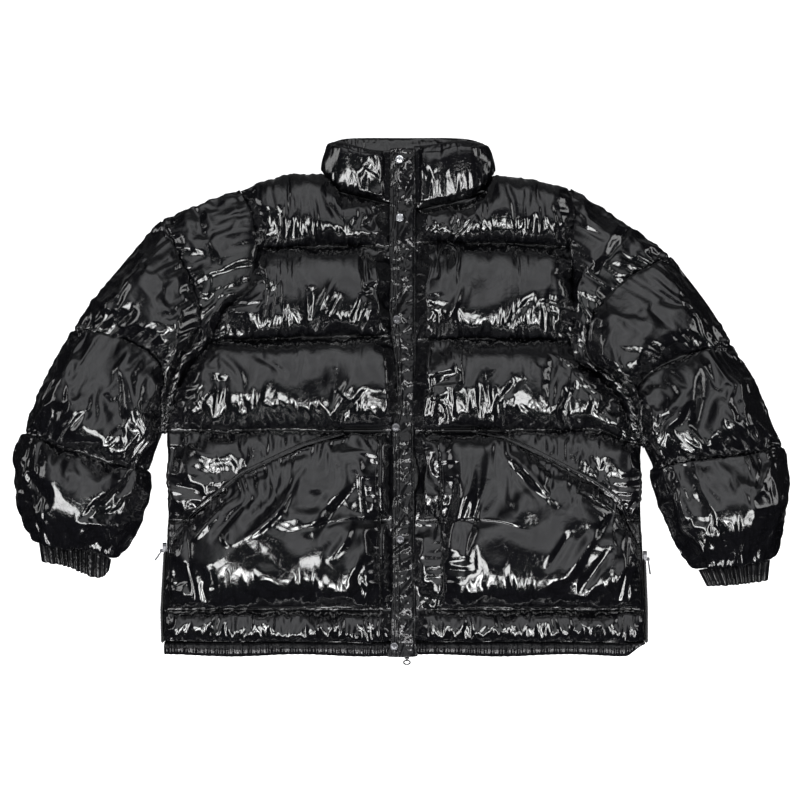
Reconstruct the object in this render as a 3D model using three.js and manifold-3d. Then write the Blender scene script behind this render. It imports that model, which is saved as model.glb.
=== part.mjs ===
// Puffer jacket laid flat on its back, front up, zipped and snapped.
// Millimetres. +X to the wearer's left, +Y to the collar, +Z up, floor at z = 0.
import * as THREE from 'three';
import { mergeVertices } from 'three/addons/utils/BufferGeometryUtils.js';
import Module from 'manifold-3d';

const wasm = await Module();
wasm.setup();

// Driving sizes
const SEAM_GAP = 0.3;
const SEAM_PLANE = 34;          // height at which front and back lie on each other
const SEAM_PADDING = 9;         // padding left in a quilting seam
const SHELF = 14;               // height of the front edges under the placket, over the seam plane
const BACK_SAG = 52;            // padding of a back baffle before the floor flattens it
const SIDE_ROUND = 46;          // width over which a baffle rounds down to a side seam
const PLACKET_X = 2;
const SHELF_HALF = 26;
const SHELF_RISE = 34;
const ZIP_LEFT = 0;             // front edges of the two fronts, at either side of the zip
const ZIP_RIGHT = 20;
const COLLAR_START = 285;
const COLLAR_SLOPE = 0.17;
const COLLAR_TOP = 362;
const HEM_SEAM = -349.5;
const HEM_EDGE = -371;
const POCKET_DOME = 31;         // padding of a pocket over the straight line between its edges
const POCKET_EDGE = 4;          // thickness of a pocket where it is sewn down
const POCKET_LEAST = 3;         // padding that a pocket keeps over the front's highest places
const SNAP_RADIUS = 6;
const CUFF_GATHERS = 18;
const CUFF_GATHER_DEPTH = 0.16; // share of the cuff's height
const CUFF_HEIGHT = 17;         // half the cuff's height, and the height of its middle over the floor
const HEM_GATHERS = 15;
const HEM_THICKNESS = 13;
const HEM_GATHER_DEPTH = 0.16;  // share of the band's thickness
const HEM_BACK_SHARE = 1.6;     // the back band hangs down this many times the front band's thickness
const HEM_CORNER = 18;          // how far the wearer's left corner of the hem is cut up
const ABOVE_ALL = 200;          // a height over every piece, for spaces that are cut away

// Baffles of each front, hem to shoulder: its lower seam from zip to side, the points of the outer
// edge up to the next seam, the padding over the seams and the number of mesh rows
const FRONT_RIGHT = [
  { seam: [[0, -349.5], [-342, -349.5]], edge: [], padding: 22, rows: 4 },
  { seam: [[0, -303], [-343, -303]], edge: [[-339, -230]], padding: 24, rows: 5 },
  { seam: [[0, -173], [-336, -173]], edge: [[-336, -100]], padding: 30, rows: 5 },
  { seam: [[0, -43.5], [-338, -43.5]], edge: [[-325, 10], [-306, 46]], padding: 43, rows: 6 },
  { seam: [[0, 92], [-140, 90], [-245, 86], [-280, 80]], edge: [[-255, 128], [-225, 161], [-215, 199]],
    padding: 43, rows: 6 },
  { seam: [[0, 222], [-120, 221], [-210, 218]], edge: [[-216, 268]], padding: 38, rows: 6 },
  { seam: [[0, 280], [-19, 283], [-58, 294], [-86, 301], [-112, 329], [-158, 327], [-181, 322], [-207, 315],
    [-231, 303]] },
];
const FRONT_LEFT = [
  { seam: [[20, -349.5], [355, -349.5]], edge: [], padding: 22, rows: 4 },
  { seam: [[20, -303], [355, -303]], edge: [[352, -230]], padding: 24, rows: 5 },
  { seam: [[20, -173], [349, -173]], edge: [[348, -110]], padding: 30, rows: 5 },
  { seam: [[20, -43.5], [290, -43.5], [349, -66]], edge: [[319, 0], [292, 32], [257, 54]],
    padding: 43, rows: 6 },
  { seam: [[20, 87], [203, 87], [252, 82]], edge: [[250, 150], [249, 184]], padding: 43, rows: 6 },
  { seam: [[20, 228], [130, 226], [248, 221]], edge: [[252, 268]], padding: 38, rows: 6 },
  { seam: [[20, 273], [51, 278], [97, 286], [117, 300], [139, 327], [176, 323], [210, 316], [229, 311],
    [247, 304]] },
];
// The back has the same side edges; its seams run from side to side
const BACK_MIDDLE = [
  { middle: [], rows: 3 },
  { middle: [], rows: 4 },
  { middle: [], rows: 4 },
  { middle: [[-200, -43], [0, -42], [290, -44]], rows: 5 },
  { middle: [[0, 88]], rows: 5 },
  { middle: [[0, 224]], rows: 5 },
  { middle: [[-207, 315], [-181, 322], [-158, 327], [-112, 329], [-80, 317], [11, 312], [102, 317], [139, 327],
    [176, 323], [210, 316], [229, 311]] },
];

// Largest folds of the fronts, pockets and sleeves: centre, length, width, direction, height
const FOLDS = [
  { x: -130, y: 155, length: 150, width: 44, degrees: 100, height: -6 },
  { x: -215, y: 5, length: 120, width: 40, degrees: 62, height: 7 },
  { x: -95, y: 30, length: 110, width: 40, degrees: 75, height: -6 },
  { x: 120, y: 150, length: 130, width: 44, degrees: 84, height: -6 },
  { x: 205, y: 20, length: 130, width: 44, degrees: 118, height: 7 },
  { x: -185, y: -175, length: 190, width: 46, degrees: 38, height: 8 },
  { x: -110, y: -230, length: 150, width: 44, degrees: 70, height: -7 },
  { x: 95, y: -150, length: 170, width: 44, degrees: 110, height: 8 },
  { x: 250, y: -210, length: 150, width: 50, degrees: 125, height: -7 },
  { x: -400, y: 110, length: 110, width: 46, degrees: 60, height: -8 },
  { x: -470, y: -20, length: 120, width: 48, degrees: 75, height: 7 },
  { x: -400, y: -30, length: 110, width: 44, degrees: 118, height: -8 },
  { x: -470, y: -150, length: 110, width: 44, degrees: 60, height: -7 },
  { x: 400, y: 120, length: 110, width: 46, degrees: 118, height: -7 },
  { x: 440, y: 0, length: 130, width: 46, degrees: 70, height: -9 },
  { x: 505, y: -150, length: 120, width: 48, degrees: 80, height: 7 },
];

// Sleeve rings at the armhole, the three quilting seams and the cuff seam. line: outer edge to inner
// edge in plan; top: height; floor: clearance under it; lumen: height of the closed hollow; square:
// how boxy the ring is; then the padding and the bulge of both edges of the baffle that follows
const SLEEVE_RIGHT = [
  { line: [[-229, 304], [-212, 268], [-206, 222], [-210, 196], [-220, 158], [-250, 124], [-276, 76], [-301, 42],
    [-320, 8], [-334, -46]], top: 44, floor: 24, lumen: 34.2, square: 9, padding: 26, outer: 5, inner: 0 },
  { line: [[-344, 258], [-318, 205], [-296, 158], [-287, 112], [-301, 76], [-320, 44], [-333, 8], [-342, -49]],
    top: 54, floor: 10, lumen: 35, square: 2.8, padding: 42, outer: 12, inner: 0 },
  { line: [[-470, 100], [-425, 93], [-380, 80], [-349, 60], [-338, 34], [-340, 4], [-347, -52]],
    top: 56, floor: 8, lumen: 36, square: 2.6, padding: 44, outer: 13, inner: 2 },
  { line: [[-539, -49], [-480, -68], [-420, -87], [-368, -101]],
    top: 54, floor: 7, lumen: 34, square: 2.6, padding: 40, outer: 28, inner: 20 },
  { line: [[-528, -206], [-492, -214], [-447, -219], [-421, -232]],
    top: 38, floor: 5, lumen: 21, square: 2.8 },
];
const SLEEVE_LEFT = [
  { line: [[245, 306], [248, 268], [244, 222], [245, 184], [247, 101], [249, 58], [285, 34], [313, 3],
    [344, -66]], top: 44, floor: 24, lumen: 34.2, square: 9, padding: 26, outer: 9, inner: 0 },
  { line: [[389, 206], [322, 168], [278, 118], [268, 84], [276, 58], [303, 38], [331, 5], [353, -69]],
    top: 54, floor: 10, lumen: 35, square: 2.8, padding: 42, outer: 12, inner: 0 },
  { line: [[477, 80], [422, 66], [366, 42], [338, 14], [343, -16], [358, -72]],
    top: 56, floor: 8, lumen: 36, square: 2.6, padding: 44, outer: 8, inner: 2 },
  { line: [[551, -68], [470, -80], [403, -90], [367, -98]],
    top: 54, floor: 7, lumen: 34, square: 2.6, padding: 40, outer: 17, inner: 16 },
  { line: [[541, -232], [490, -239], [434, -247]],
    top: 38, floor: 5, lumen: 21, square: 2.8 },
];
// Cuffs: edge at the sleeve and edge at the hand, outer to inner
const CUFF_RIGHT = { sleeve: [[-527, -207], [-491, -215], [-447, -220], [-421, -233]],
  hand: [[-523, -235], [-486, -241], [-436, -258], [-424, -248]] };
const CUFF_LEFT = { sleeve: [[540, -233], [490, -240], [435, -248]],
  hand: [[537, -262], [489, -268], [447, -271]] };

// Collar, from the wearer's right of the zip round the back: its seam and its top edge
const COLLAR = [
  { seam: [0, 281, 41], top: [0, 361, 55] },
  { seam: [-24, 285, 41.5], top: [-24, 358, 58] },
  { seam: [-58, 294.5, 42], top: [-62, 364, 64] },
  { seam: [-88, 303, 41], top: [-82, 371, 58] },
  { seam: [-106, 326, 36], top: [-91, 375, 38] },
  { seam: [-92, 322, 22], top: [-80, 380, 19] },
  { seam: [-58, 318, 16], top: [-50, 382, 11] },
  { seam: [11, 315, 14], top: [11, 382, 10] },
  { seam: [82, 318, 16], top: [72, 382, 11] },
  { seam: [116, 322, 22], top: [102, 379, 19] },
  { seam: [130, 326, 36], top: [114, 373, 38] },
  { seam: [112, 300, 41], top: [104, 371, 58] },
  { seam: [84, 286, 42], top: [80, 372, 64] },
  { seam: [52, 279, 42], top: [50, 367, 62] },
  { seam: [29, 275, 41.5], top: [29, 365, 58] },
  { seam: [20, 273.5, 41], top: [20, 365, 56] },
];
// Wall of the collar, seam to top edge outside and back inside: place up the wall, distance out
const COLLAR_WALL = [
  { up: 0, out: 3.5 }, { up: 0.1, out: 8 }, { up: 0.35, out: 12 }, { up: 0.65, out: 12 }, { up: 0.9, out: 8 },
  { up: 1, out: 2.5 }, { up: 1, out: -2.5 }, { up: 0.92, out: -5.5 }, { up: 0.5, out: -6.5 },
  { up: 0.08, out: -6 }, { up: 0, out: -4 },
];

// Patch pockets: all edges start at the corner near the zip or at the bottom
const POCKET_RIGHT = {
  opening: [[-29, -48], [-65, -46], [-139, -68], [-225, -109], [-265, -142], [-296, -168], [-331, -211]],
  bottom: [[-26, -300], [-333, -300]],
};
const POCKET_LEFT = {
  opening: [[53, -50], [107, -48], [148, -56], [186, -74], [229, -96], [274, -120], [310, -144], [344, -213]],
  bottom: [[61, -300], [348, -300]],
};
const WELT = { width: 8, edge: 3.6, middle: 5.4, start: 0.16, end: 0.98, steps: 12 };

// Placket: height up the front, free edge and sewn edge
const PLACKET = [
  { y: -371, free: -21, sewn: 26 },
  { y: -350, free: -14, sewn: 24 },
  { y: -290, free: -12, sewn: 23 },
  { y: -39, free: -11, sewn: 20 },
  { y: -7, free: -5, sewn: 22 },
  { y: 72, free: -10, sewn: 24 },
  { y: 130, free: -16, sewn: 24 },
  { y: 285, free: -16, sewn: 24 },
  { y: 362, free: -15, sewn: 22 },
];
const PLACKET_THICKNESS = 7;
const SNAPS = [[-0.7, 345.8], [0, 262.9], [-4.6, 116.4], [-6, -39.3], [0.3, -200.7], [-8.4, -354.7]];

// Zips
const SLIDER = { width: 9, length: 13, thick: 5, ear: 1.5, earLength: 4.6, earReach: 5, earSunk: 1,
  earForward: 0.9 };
const HINGE = { y: -6, z: 4.6, lug: 1.5, lugWidth: 3.4 };
const LINK = { width: 2.2, length: 6, thick: 1.8 };
const RING_PULL = { radius: 4.7, wire: 1.15, centre: -9.6 };
const TAB_PULL = { width: 8, length: 11, thick: 2, centre: -10 };
const PRONG_PULL = { width: 2, length: 17, thick: 1.8, centre: -13, spread: 2, splay: 0.13 };
const MAIN_ZIP = { start: -360.6, underShelf: 10.5, tape: 2, teeth: 4, teethHalf: 3, teethTop: 2.6,
  belowTop: 14, sliderLift: 5.4 };
const SIDE_ZIP_TOP_RIGHT = -207;
const SIDE_ZIP_TOP_LEFT = -219;
const SIDE_ZIP = { tape: 2, high: 22, teethOut: 1.8, teethHalf: 0.12, offBody: 0.5 };
const ZIP_STEP = 30;            // longest run of a zip between two rings

// Materials
const nylon = new THREE.MeshStandardMaterial({ color: 0x101012, roughness: 0.16, metalness: 0 });
const elastic = new THREE.MeshStandardMaterial({ color: 0x131315, roughness: 0.3, metalness: 0 });
const snapMetal = new THREE.MeshStandardMaterial({ color: 0x8f9094, roughness: 0.28, metalness: 1 });
const zipMetal = new THREE.MeshStandardMaterial({ color: 0x3a3a3d, roughness: 0.35, metalness: 1 });
const zipTape = new THREE.MeshStandardMaterial({ color: 0x0c0c0d, roughness: 0.6, metalness: 0 });

const jacket = new THREE.Group();

function addPiece(name, geometry, material) {
  const mesh = new THREE.Mesh(geometry, material);
  mesh.name = name;
  jacket.add(mesh);
  return mesh;
}

// Plain helpers for lines and shapes

const mix = (a, b, t) => a + (b - a) * t;
const mixPoint = (a, b, t) => a.map((value, i) => mix(value, b[i], t));
const smooth = (low, high, value) => THREE.MathUtils.smoothstep(value, low, high);

// Point at a share of a polyline's length
function along(line, share) {
  const lengths = line.slice(1).map((p, i) => Math.hypot(p[0] - line[i][0], p[1] - line[i][1]));
  let left = share * lengths.reduce((sum, length) => sum + length, 0);
  for (let i = 0; i < lengths.length; i += 1) {
    if (left <= lengths[i] || i === lengths.length - 1) {
      return mixPoint(line[i], line[i + 1], Math.min(1, left / lengths[i]));
    }
    left -= lengths[i];
  }
  return line[0];
}

function curveThrough(points) {
  const vectors = points.map(([x, y, z = 0]) => new THREE.Vector3(x, y, z));
  return new THREE.CatmullRomCurve3(vectors, false, 'centripetal');
}

// Shares from 0 to 1, closer together at both ends
function endShares(count) {
  return Array.from({ length: count + 1 }, (_, i) => (1 - Math.cos((Math.PI * i) / count)) / 2);
}

// Round pillow section: 0 at both seams and 1 in the middle
function pillow(share) {
  return (1 - Math.abs(2 * share - 1) ** 2.6) ** 0.55;
}

function foldHeight(x, y) {
  let height = 0;
  for (const fold of FOLDS) {
    const angle = THREE.MathUtils.degToRad(fold.degrees);
    const dx = x - fold.x;
    const dy = y - fold.y;
    const lengthwise = (dx * Math.cos(angle) + dy * Math.sin(angle)) / (fold.length / 2);
    const across = (-dx * Math.sin(angle) + dy * Math.cos(angle)) / (fold.width / 2);
    height += fold.height * Math.exp(-(lengthwise ** 2) - across ** 2);
  }
  return height;
}

function meshFrom(vertices, triangles) {
  const geometry = new THREE.BufferGeometry();
  geometry.setAttribute('position', new THREE.Float32BufferAttribute(vertices.flat(), 3));
  geometry.setIndex(triangles.flat());
  return geometry;
}

function toSolid(geometry) {
  const bare = geometry.clone();
  bare.deleteAttribute('normal');
  bare.deleteAttribute('uv');
  const merged = mergeVertices(bare, 1e-4);
  return new wasm.Manifold(new wasm.Mesh({
    numProp: 3,
    vertProperties: Float32Array.from(merged.attributes.position.array),
    triVerts: Uint32Array.from(merged.index.array),
  }));
}

// The largest body of a solid, as a geometry with flat faces
function toGeometry(solid) {
  const bodies = solid.decompose().sort((a, b) => b.volume() - a.volume());
  const mesh = bodies[0].simplify(0.02).getMesh();
  const geometry = new THREE.BufferGeometry();
  geometry.setAttribute('position', new THREE.Float32BufferAttribute(mesh.vertProperties, 3));
  geometry.setIndex(Array.from(mesh.triVerts));
  return geometry;
}

// Outline pushed outward by a distance; the outline runs counterclockwise
function pushedOut(outline, distance) {
  return outline.map((point, i) => {
    const before = outline[(i + outline.length - 1) % outline.length];
    const after = outline[(i + 1) % outline.length];
    const a = new THREE.Vector2(point[1] - before[1], before[0] - point[0]).normalize();
    const b = new THREE.Vector2(after[1] - point[1], point[0] - after[0]).normalize();
    const normal = a.clone().add(b).normalize();
    const reach = distance / Math.max(0.5, normal.dot(a));
    return [point[0] + normal.x * reach, point[1] + normal.y * reach];
  });
}

function counterclockwise(outline) {
  const area = THREE.ShapeUtils.area(outline.map(([x, y]) => new THREE.Vector2(x, y)));
  return area < 0 ? [...outline].reverse() : outline;
}

function upright(outline, low, high) {
  const shape = new THREE.Shape(outline.map(([x, y]) => new THREE.Vector2(x, y)));
  const geometry = new THREE.ExtrudeGeometry(shape, { depth: high - low, bevelEnabled: false });
  geometry.translate(0, 0, low);
  return toSolid(geometry);
}

// Solid between a grid of outer points and a flat inside; the outer side faces up or down
function gridSolid(grid, flatZ, facesUp) {
  const rows = grid.length;
  const columns = grid[0].length;
  const vertices = grid.flat().map((p) => [...p]);
  const triangles = [];
  const turn = (a, b, c) => triangles.push(facesUp ? [a, b, c] : [a, c, b]);
  const at = (r, c) => r * columns + c;
  for (let r = 0; r < rows - 1; r += 1) {
    for (let c = 0; c < columns - 1; c += 1) {
      turn(at(r, c), at(r, c + 1), at(r + 1, c + 1));
      turn(at(r, c), at(r + 1, c + 1), at(r + 1, c));
    }
  }
  const rim = [];
  for (let c = 0; c < columns - 1; c += 1) rim.push(at(0, c));
  for (let r = 0; r < rows - 1; r += 1) rim.push(at(r, columns - 1));
  for (let c = columns - 1; c > 0; c -= 1) rim.push(at(rows - 1, c));
  for (let r = rows - 1; r > 0; r -= 1) rim.push(at(r, 0));
  const base = vertices.length;
  rim.forEach((index) => vertices.push([vertices[index][0], vertices[index][1], flatZ]));
  rim.forEach((index, i) => {
    const next = (i + 1) % rim.length;
    turn(index, base + next, rim[next]);
    turn(index, base + i, base + next);
  });
  const contour = rim.map((index) => new THREE.Vector2(vertices[index][0], vertices[index][1]));
  THREE.ShapeUtils.triangulateShape(contour, []).forEach(([a, b, c]) => turn(base + a, base + c, base + b));
  return meshFrom(vertices, triangles);
}

// Solid through closed rings with the same number of points, capped at both ends. A flat section is
// capped by a fan. In a flattened ring each top point is joined to the point under it, which lies
// pairSum places on, less its own place.
function loft(rings, pairSum = 0) {
  const around = rings[0].length;
  const vertices = rings.flat();
  const triangles = [];
  for (let r = 0; r < rings.length - 1; r += 1) {
    for (let i = 0; i < around; i += 1) {
      const a = r * around + i;
      const b = r * around + ((i + 1) % around);
      triangles.push([a, b, b + around], [a, b + around, a + around]);
    }
  }
  const capOf = (first, flip) => {
    const face = (a, b, c) => {
      if (new Set([a, b, c]).size < 3) return;
      triangles.push(flip ? [first + a, first + c, first + b] : [first + a, first + b, first + c]);
    };
    if (pairSum === 0) {
      for (let i = 1; i < around - 1; i += 1) face(0, i, i + 1);
      return;
    }
    const under = (i) => (pairSum - i) % around;
    for (let i = 0; i < Math.ceil(pairSum / 2); i += 1) {
      if (i + 1 > under(i + 1)) break;
      face(i, i + 1, under(i + 1));
      face(i, under(i + 1), under(i));
    }
  };
  capOf(0, true);
  capOf((rings.length - 1) * around, false);
  return facingOut(meshFrom(vertices, triangles));
}

// Turns a closed mesh right side out
function facingOut(geometry) {
  const position = geometry.attributes.position;
  const index = geometry.index.array;
  let volume = 0;
  const p = [0, 1, 2].map(() => new THREE.Vector3());
  for (let i = 0; i < index.length; i += 3) {
    p.forEach((v, k) => v.fromBufferAttribute(position, index[i + k]));
    volume += p[0].dot(p[1].clone().cross(p[2]));
  }
  if (volume < 0) {
    for (let i = 0; i < index.length; i += 3) {
      [index[i + 1], index[i + 2]] = [index[i + 2], index[i + 1]];
    }
  }
  return geometry;
}

// Points of a patch between four edges: low and high run across, first and last run up
function patchPoint(low, high, first, last, u, t) {
  const a = mixPoint(along(low, u), along(high, u), t);
  const b = mixPoint(along(first, t), along(last, t), u);
  const corners = mixPoint(mixPoint(low[0], low.at(-1), u), mixPoint(high[0], high.at(-1), u), t);
  return [a[0] + b[0] - corners[0], a[1] + b[1] - corners[1]];
}

// Body panels

const shelfHeight = (y) => SEAM_PLANE + SHELF + Math.max(0, y - COLLAR_START) * COLLAR_SLOPE;

function sideRise(distance) {
  const near = Math.min(1, distance / SIDE_ROUND);
  return Math.sqrt(1 - (1 - near) ** 2);
}

const FRONT_COLUMNS = [0, 0.04, 0.08, 0.12, 0.18, 0.27, 0.38, 0.5, 0.62, 0.73, 0.83, 0.91, 0.965, 1];

function frontGrid(baffles) {
  const grid = [];
  for (let k = 0; k < baffles.length - 1; k += 1) {
    const low = baffles[k].seam;
    const high = baffles[k + 1].seam;
    const first = [low[0], high[0]];
    const last = [low.at(-1), ...baffles[k].edge, high.at(-1)];
    endShares(baffles[k].rows).forEach((t, row) => {
      if (row === 0 && k > 0) return;
      grid.push(FRONT_COLUMNS.map((u) => {
        const [x, y] = patchPoint(low, high, first, last, u, t);
        const fromPlacket = smooth(0, SHELF_RISE, Math.abs(x - PLACKET_X) - SHELF_HALF);
        const fromSide = sideRise(Math.hypot(x - along(last, t)[0], y - along(last, t)[1]));
        const fill = pillow(t) * fromPlacket * fromSide;
        const ground = mix(SHELF, SEAM_PADDING, fromPlacket);
        return [x, y, SEAM_PLANE + ground + fill * (baffles[k].padding + foldHeight(x, y))];
      }));
    });
  }
  // Every grid runs toward +X
  if (grid[0][0][0] > grid[0].at(-1)[0]) grid.forEach((row) => row.reverse());
  return grid;
}

const BACK_COLUMNS = [0, 0.02, 0.05, 0.1, 0.17, 0.25, 0.34, 0.42, 0.5, 0.58, 0.66, 0.75, 0.83, 0.9, 0.95,
  0.98, 1];

function backGrid() {
  const grid = [];
  const seamLine = (k) => [FRONT_RIGHT[k].seam.at(-1), ...BACK_MIDDLE[k].middle, FRONT_LEFT[k].seam.at(-1)];
  for (let k = 0; k < BACK_MIDDLE.length - 1; k += 1) {
    const first = [FRONT_RIGHT[k].seam.at(-1), ...FRONT_RIGHT[k].edge, FRONT_RIGHT[k + 1].seam.at(-1)];
    const last = [FRONT_LEFT[k].seam.at(-1), ...FRONT_LEFT[k].edge, FRONT_LEFT[k + 1].seam.at(-1)];
    endShares(BACK_MIDDLE[k].rows).forEach((t, row) => {
      if (row === 0 && k > 0) return;
      grid.push(BACK_COLUMNS.map((u) => {
        const [x, y] = patchPoint(seamLine(k), seamLine(k + 1), first, last, u, t);
        const side = Math.min(x - along(first, t)[0], along(last, t)[0] - x);
        const depth = SEAM_PADDING + BACK_SAG * pillow(t) * sideRise(Math.max(0, side));
        return [x, y, Math.max(0, SEAM_PLANE - depth)];
      }));
    });
  }
  return grid;
}

function outlineOf(grid) {
  const lastRow = grid.at(-1);
  return counterclockwise([
    ...grid[0].slice(0, -1),
    ...grid.slice(0, -1).map((row) => row.at(-1)),
    ...lastRow.slice(1).reverse(),
    ...grid.slice(1).reverse().map((row) => row[0]),
  ].map(([x, y]) => [x, y]));
}

const rightGrid = frontGrid(FRONT_RIGHT);
const leftGrid = frontGrid(FRONT_LEFT);
const rearGrid = backGrid();
const rightOutline = pushedOut(outlineOf(rightGrid), SEAM_GAP);
const leftOutline = pushedOut(outlineOf(leftGrid), SEAM_GAP);
const rearOutline = pushedOut(outlineOf(rearGrid), SEAM_GAP);
const frontInside = SEAM_PLANE + SEAM_GAP;
const rightFront = underPlacket(gridSolid(rightGrid, frontInside, true));
const leftFront = underPlacket(gridSolid(leftGrid, frontInside, true));

// What a piece beside the body panels must leave free: fronts above the seam plane, back below it
const bodySpace = upright(rightOutline, SEAM_PLANE + 0.1, ABOVE_ALL)
  .add(upright(leftOutline, SEAM_PLANE + 0.1, ABOVE_ALL))
  .add(upright(rearOutline, -5, SEAM_PLANE + SEAM_GAP));

function besideBody(geometry) {
  return toSolid(geometry).subtract(bodySpace);
}

// Height of a front's outer side over a place in plan
function heightOver(grid, x, y) {
  for (let r = 0; r < grid.length - 1; r += 1) {
    for (let c = 0; c < grid[0].length - 1; c += 1) {
      const [a, b, d, e] = [grid[r][c], grid[r][c + 1], grid[r + 1][c + 1], grid[r + 1][c]];
      for (const [p, q, s] of [[a, b, d], [a, d, e]]) {
        const area = (q[0] - p[0]) * (s[1] - p[1]) - (s[0] - p[0]) * (q[1] - p[1]);
        const v = ((x - p[0]) * (s[1] - p[1]) - (s[0] - p[0]) * (y - p[1])) / area;
        const w = ((q[0] - p[0]) * (y - p[1]) - (x - p[0]) * (q[1] - p[1])) / area;
        if (v >= -1e-6 && w >= -1e-6 && v + w <= 1 + 1e-6) return p[2] + v * (q[2] - p[2]) + w * (s[2] - p[2]);
      }
    }
  }
  return SEAM_PLANE + SEAM_PADDING;
}

// Cuts a padded piece so that it lies on a front, one seam gap above it
function laidOn(geometry, front) {
  return toSolid(geometry).subtract(toSolid(front).translate(0, 0, SEAM_GAP));
}

function makePanels() {
  addPiece('back_panel', gridSolid(rearGrid, SEAM_PLANE, false), nylon);
  addPiece('front_right', rightFront, nylon);
  addPiece('front_left', leftFront, nylon);
}

// Patch pockets and their welts

const POCKET_ROWS = 8;
const POCKET_COLUMNS = 10;

// Outer points of a pocket: a dome over its four sewn edges, and nowhere lower than the front under it
function pocketGrid(pocket, grid) {
  const { opening, bottom } = pocket;
  const first = [bottom[0], opening[0]];
  const last = [bottom[1], opening.at(-1)];
  const place = (u, t) => patchPoint(bottom, opening, first, last, u, t);
  const ground = (u, t) => heightOver(grid, ...place(u, t));
  const overEdges = (u, t) => {
    const across = mix(ground(0, t), ground(1, t), u);
    const up = mix(ground(u, 0), ground(u, 1), t);
    return across + up - mix(mix(ground(0, 0), ground(1, 0), u), mix(ground(0, 1), ground(1, 1), u), t);
  };
  return endShares(POCKET_ROWS).map((t) => endShares(POCKET_COLUMNS).map((u) => {
    const [x, y] = place(u, t);
    const fill = pillow(t) * pillow(u);
    const dome = overEdges(u, t) + POCKET_EDGE + fill * (POCKET_DOME + foldHeight(x, y));
    return [x, y, Math.max(dome, ground(u, t) + POCKET_EDGE + fill * POCKET_LEAST)];
  }));
}

// Outer points of the stitched band along a pocket's opening
function weltGrid(opening, toward, grid) {
  const rises = [WELT.edge, WELT.middle, WELT.edge];
  return [SEAM_GAP + 0.2, WELT.width / 2, WELT.width].map((offset, i) => (
    Array.from({ length: WELT.steps + 1 }, (_, k) => {
      const share = mix(WELT.start, WELT.end, k / WELT.steps);
      const here = along(opening, share);
      const next = along(opening, Math.min(1, share + 0.02));
      const tangent = new THREE.Vector2(next[0] - here[0], next[1] - here[1]).normalize();
      const x = here[0] - toward * tangent.y * offset;
      const y = here[1] + toward * tangent.x * offset;
      return [x, y, heightOver(grid, x, y) + rises[i]];
    })));
}

function makePocket(side, pocket, grid, front) {
  const base = SEAM_PLANE + 3;
  const top = pocketGrid(pocket, grid);
  const strip = weltGrid(pocket.opening, side === 'right' ? -1 : 1, grid);
  if (side === 'right') [...top, ...strip].forEach((row) => row.reverse());
  const pocketSpace = upright(pushedOut(outlineOf(top), SEAM_GAP), 0, ABOVE_ALL);
  const welt = laidOn(gridSolid(strip, base, true), front).subtract(pocketSpace);
  addPiece(`pocket_${side}`, toGeometry(laidOn(gridSolid(top, base, true), front)), nylon);
  addPiece(`pocket_welt_${side}`, toGeometry(welt), nylon);
}

// Sleeves and cuffs

const SLEEVE_SIDES = 16;
const HOLLOW_SIDES = 8;
const HOLLOW_PAIRS = 2 * HOLLOW_SIDES + 1;
const BAFFLE_RINGS = 5;

// Outer points of one flattened ring, top from outer to inner edge and back underneath
function flatRing(line, shape, withFolds) {
  const shares = endShares(SLEEVE_SIDES);
  const profile = (share) => (1 - Math.abs(2 * share - 1) ** shape.square) ** 0.5;
  const top = shares.map((share) => {
    const [x, y] = line(share);
    const fold = withFolds * foldHeight(x, y);
    return [x, y, shape.lumen + (shape.top + fold - shape.lumen) * profile(share)];
  });
  const under = shares.slice(1, -1).reverse().map((share) => {
    const [x, y] = line(share);
    const drop = (shape.lumen - shape.floor) * Math.min(1, 1.18 * profile(share));
    return [x, y, shape.lumen - drop];
  });
  return [...top, ...under];
}

function hollowRing(line, lumen) {
  const shares = endShares(HOLLOW_SIDES).map((share) => mix(0.09, 0.91, share));
  const at = (share, z) => [...line(share), z];
  return [
    ...shares.map((share) => at(share, lumen + 0.4)),
    ...shares.reverse().map((share) => at(share, lumen - 0.4)),
  ];
}

function sleeveRings(table) {
  const curves = table.map((row) => curveThrough(row.line));
  const rings = [];
  table.slice(0, -1).forEach((row, k) => {
    const next = table[k + 1];
    endShares(BAFFLE_RINGS).forEach((t, step) => {
      if (step === 0 && k > 0) return;
      const puff = pillow(t);
      const line = (share) => {
        const a = curves[k].getPointAt(share);
        const p = a.lerp(curves[k + 1].getPointAt(share), t);
        const outer = curves[k].getPointAt(0).lerp(curves[k + 1].getPointAt(0), t);
        const inner = curves[k].getPointAt(1).lerp(curves[k + 1].getPointAt(1), t);
        const outward = outer.sub(inner).normalize();
        const bulge = puff * (row.outer * (1 - share) ** 3 - row.inner * share ** 3);
        p.addScaledVector(outward, bulge);
        return [p.x, p.y];
      };
      const shape = {
        top: mix(row.top, next.top, t) + puff * row.padding,
        floor: mix(row.floor, next.floor, t) * (1 - puff),
        lumen: mix(row.lumen, next.lumen, t),
        square: mix(row.square, next.square, Math.min(1, 1.6 * t)),
      };
      rings.push({ line, shape, puff });
    });
  });
  return rings;
}

// The hollow carried on past a sleeve's end, so that the end is open
function openEnd(ring, shift) {
  const shifted = (share) => ring.line(share).map((value, axis) => value + shift[axis]);
  return loft([hollowRing(ring.line, ring.shape.lumen), hollowRing(shifted, ring.shape.lumen)], HOLLOW_PAIRS);
}

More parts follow.
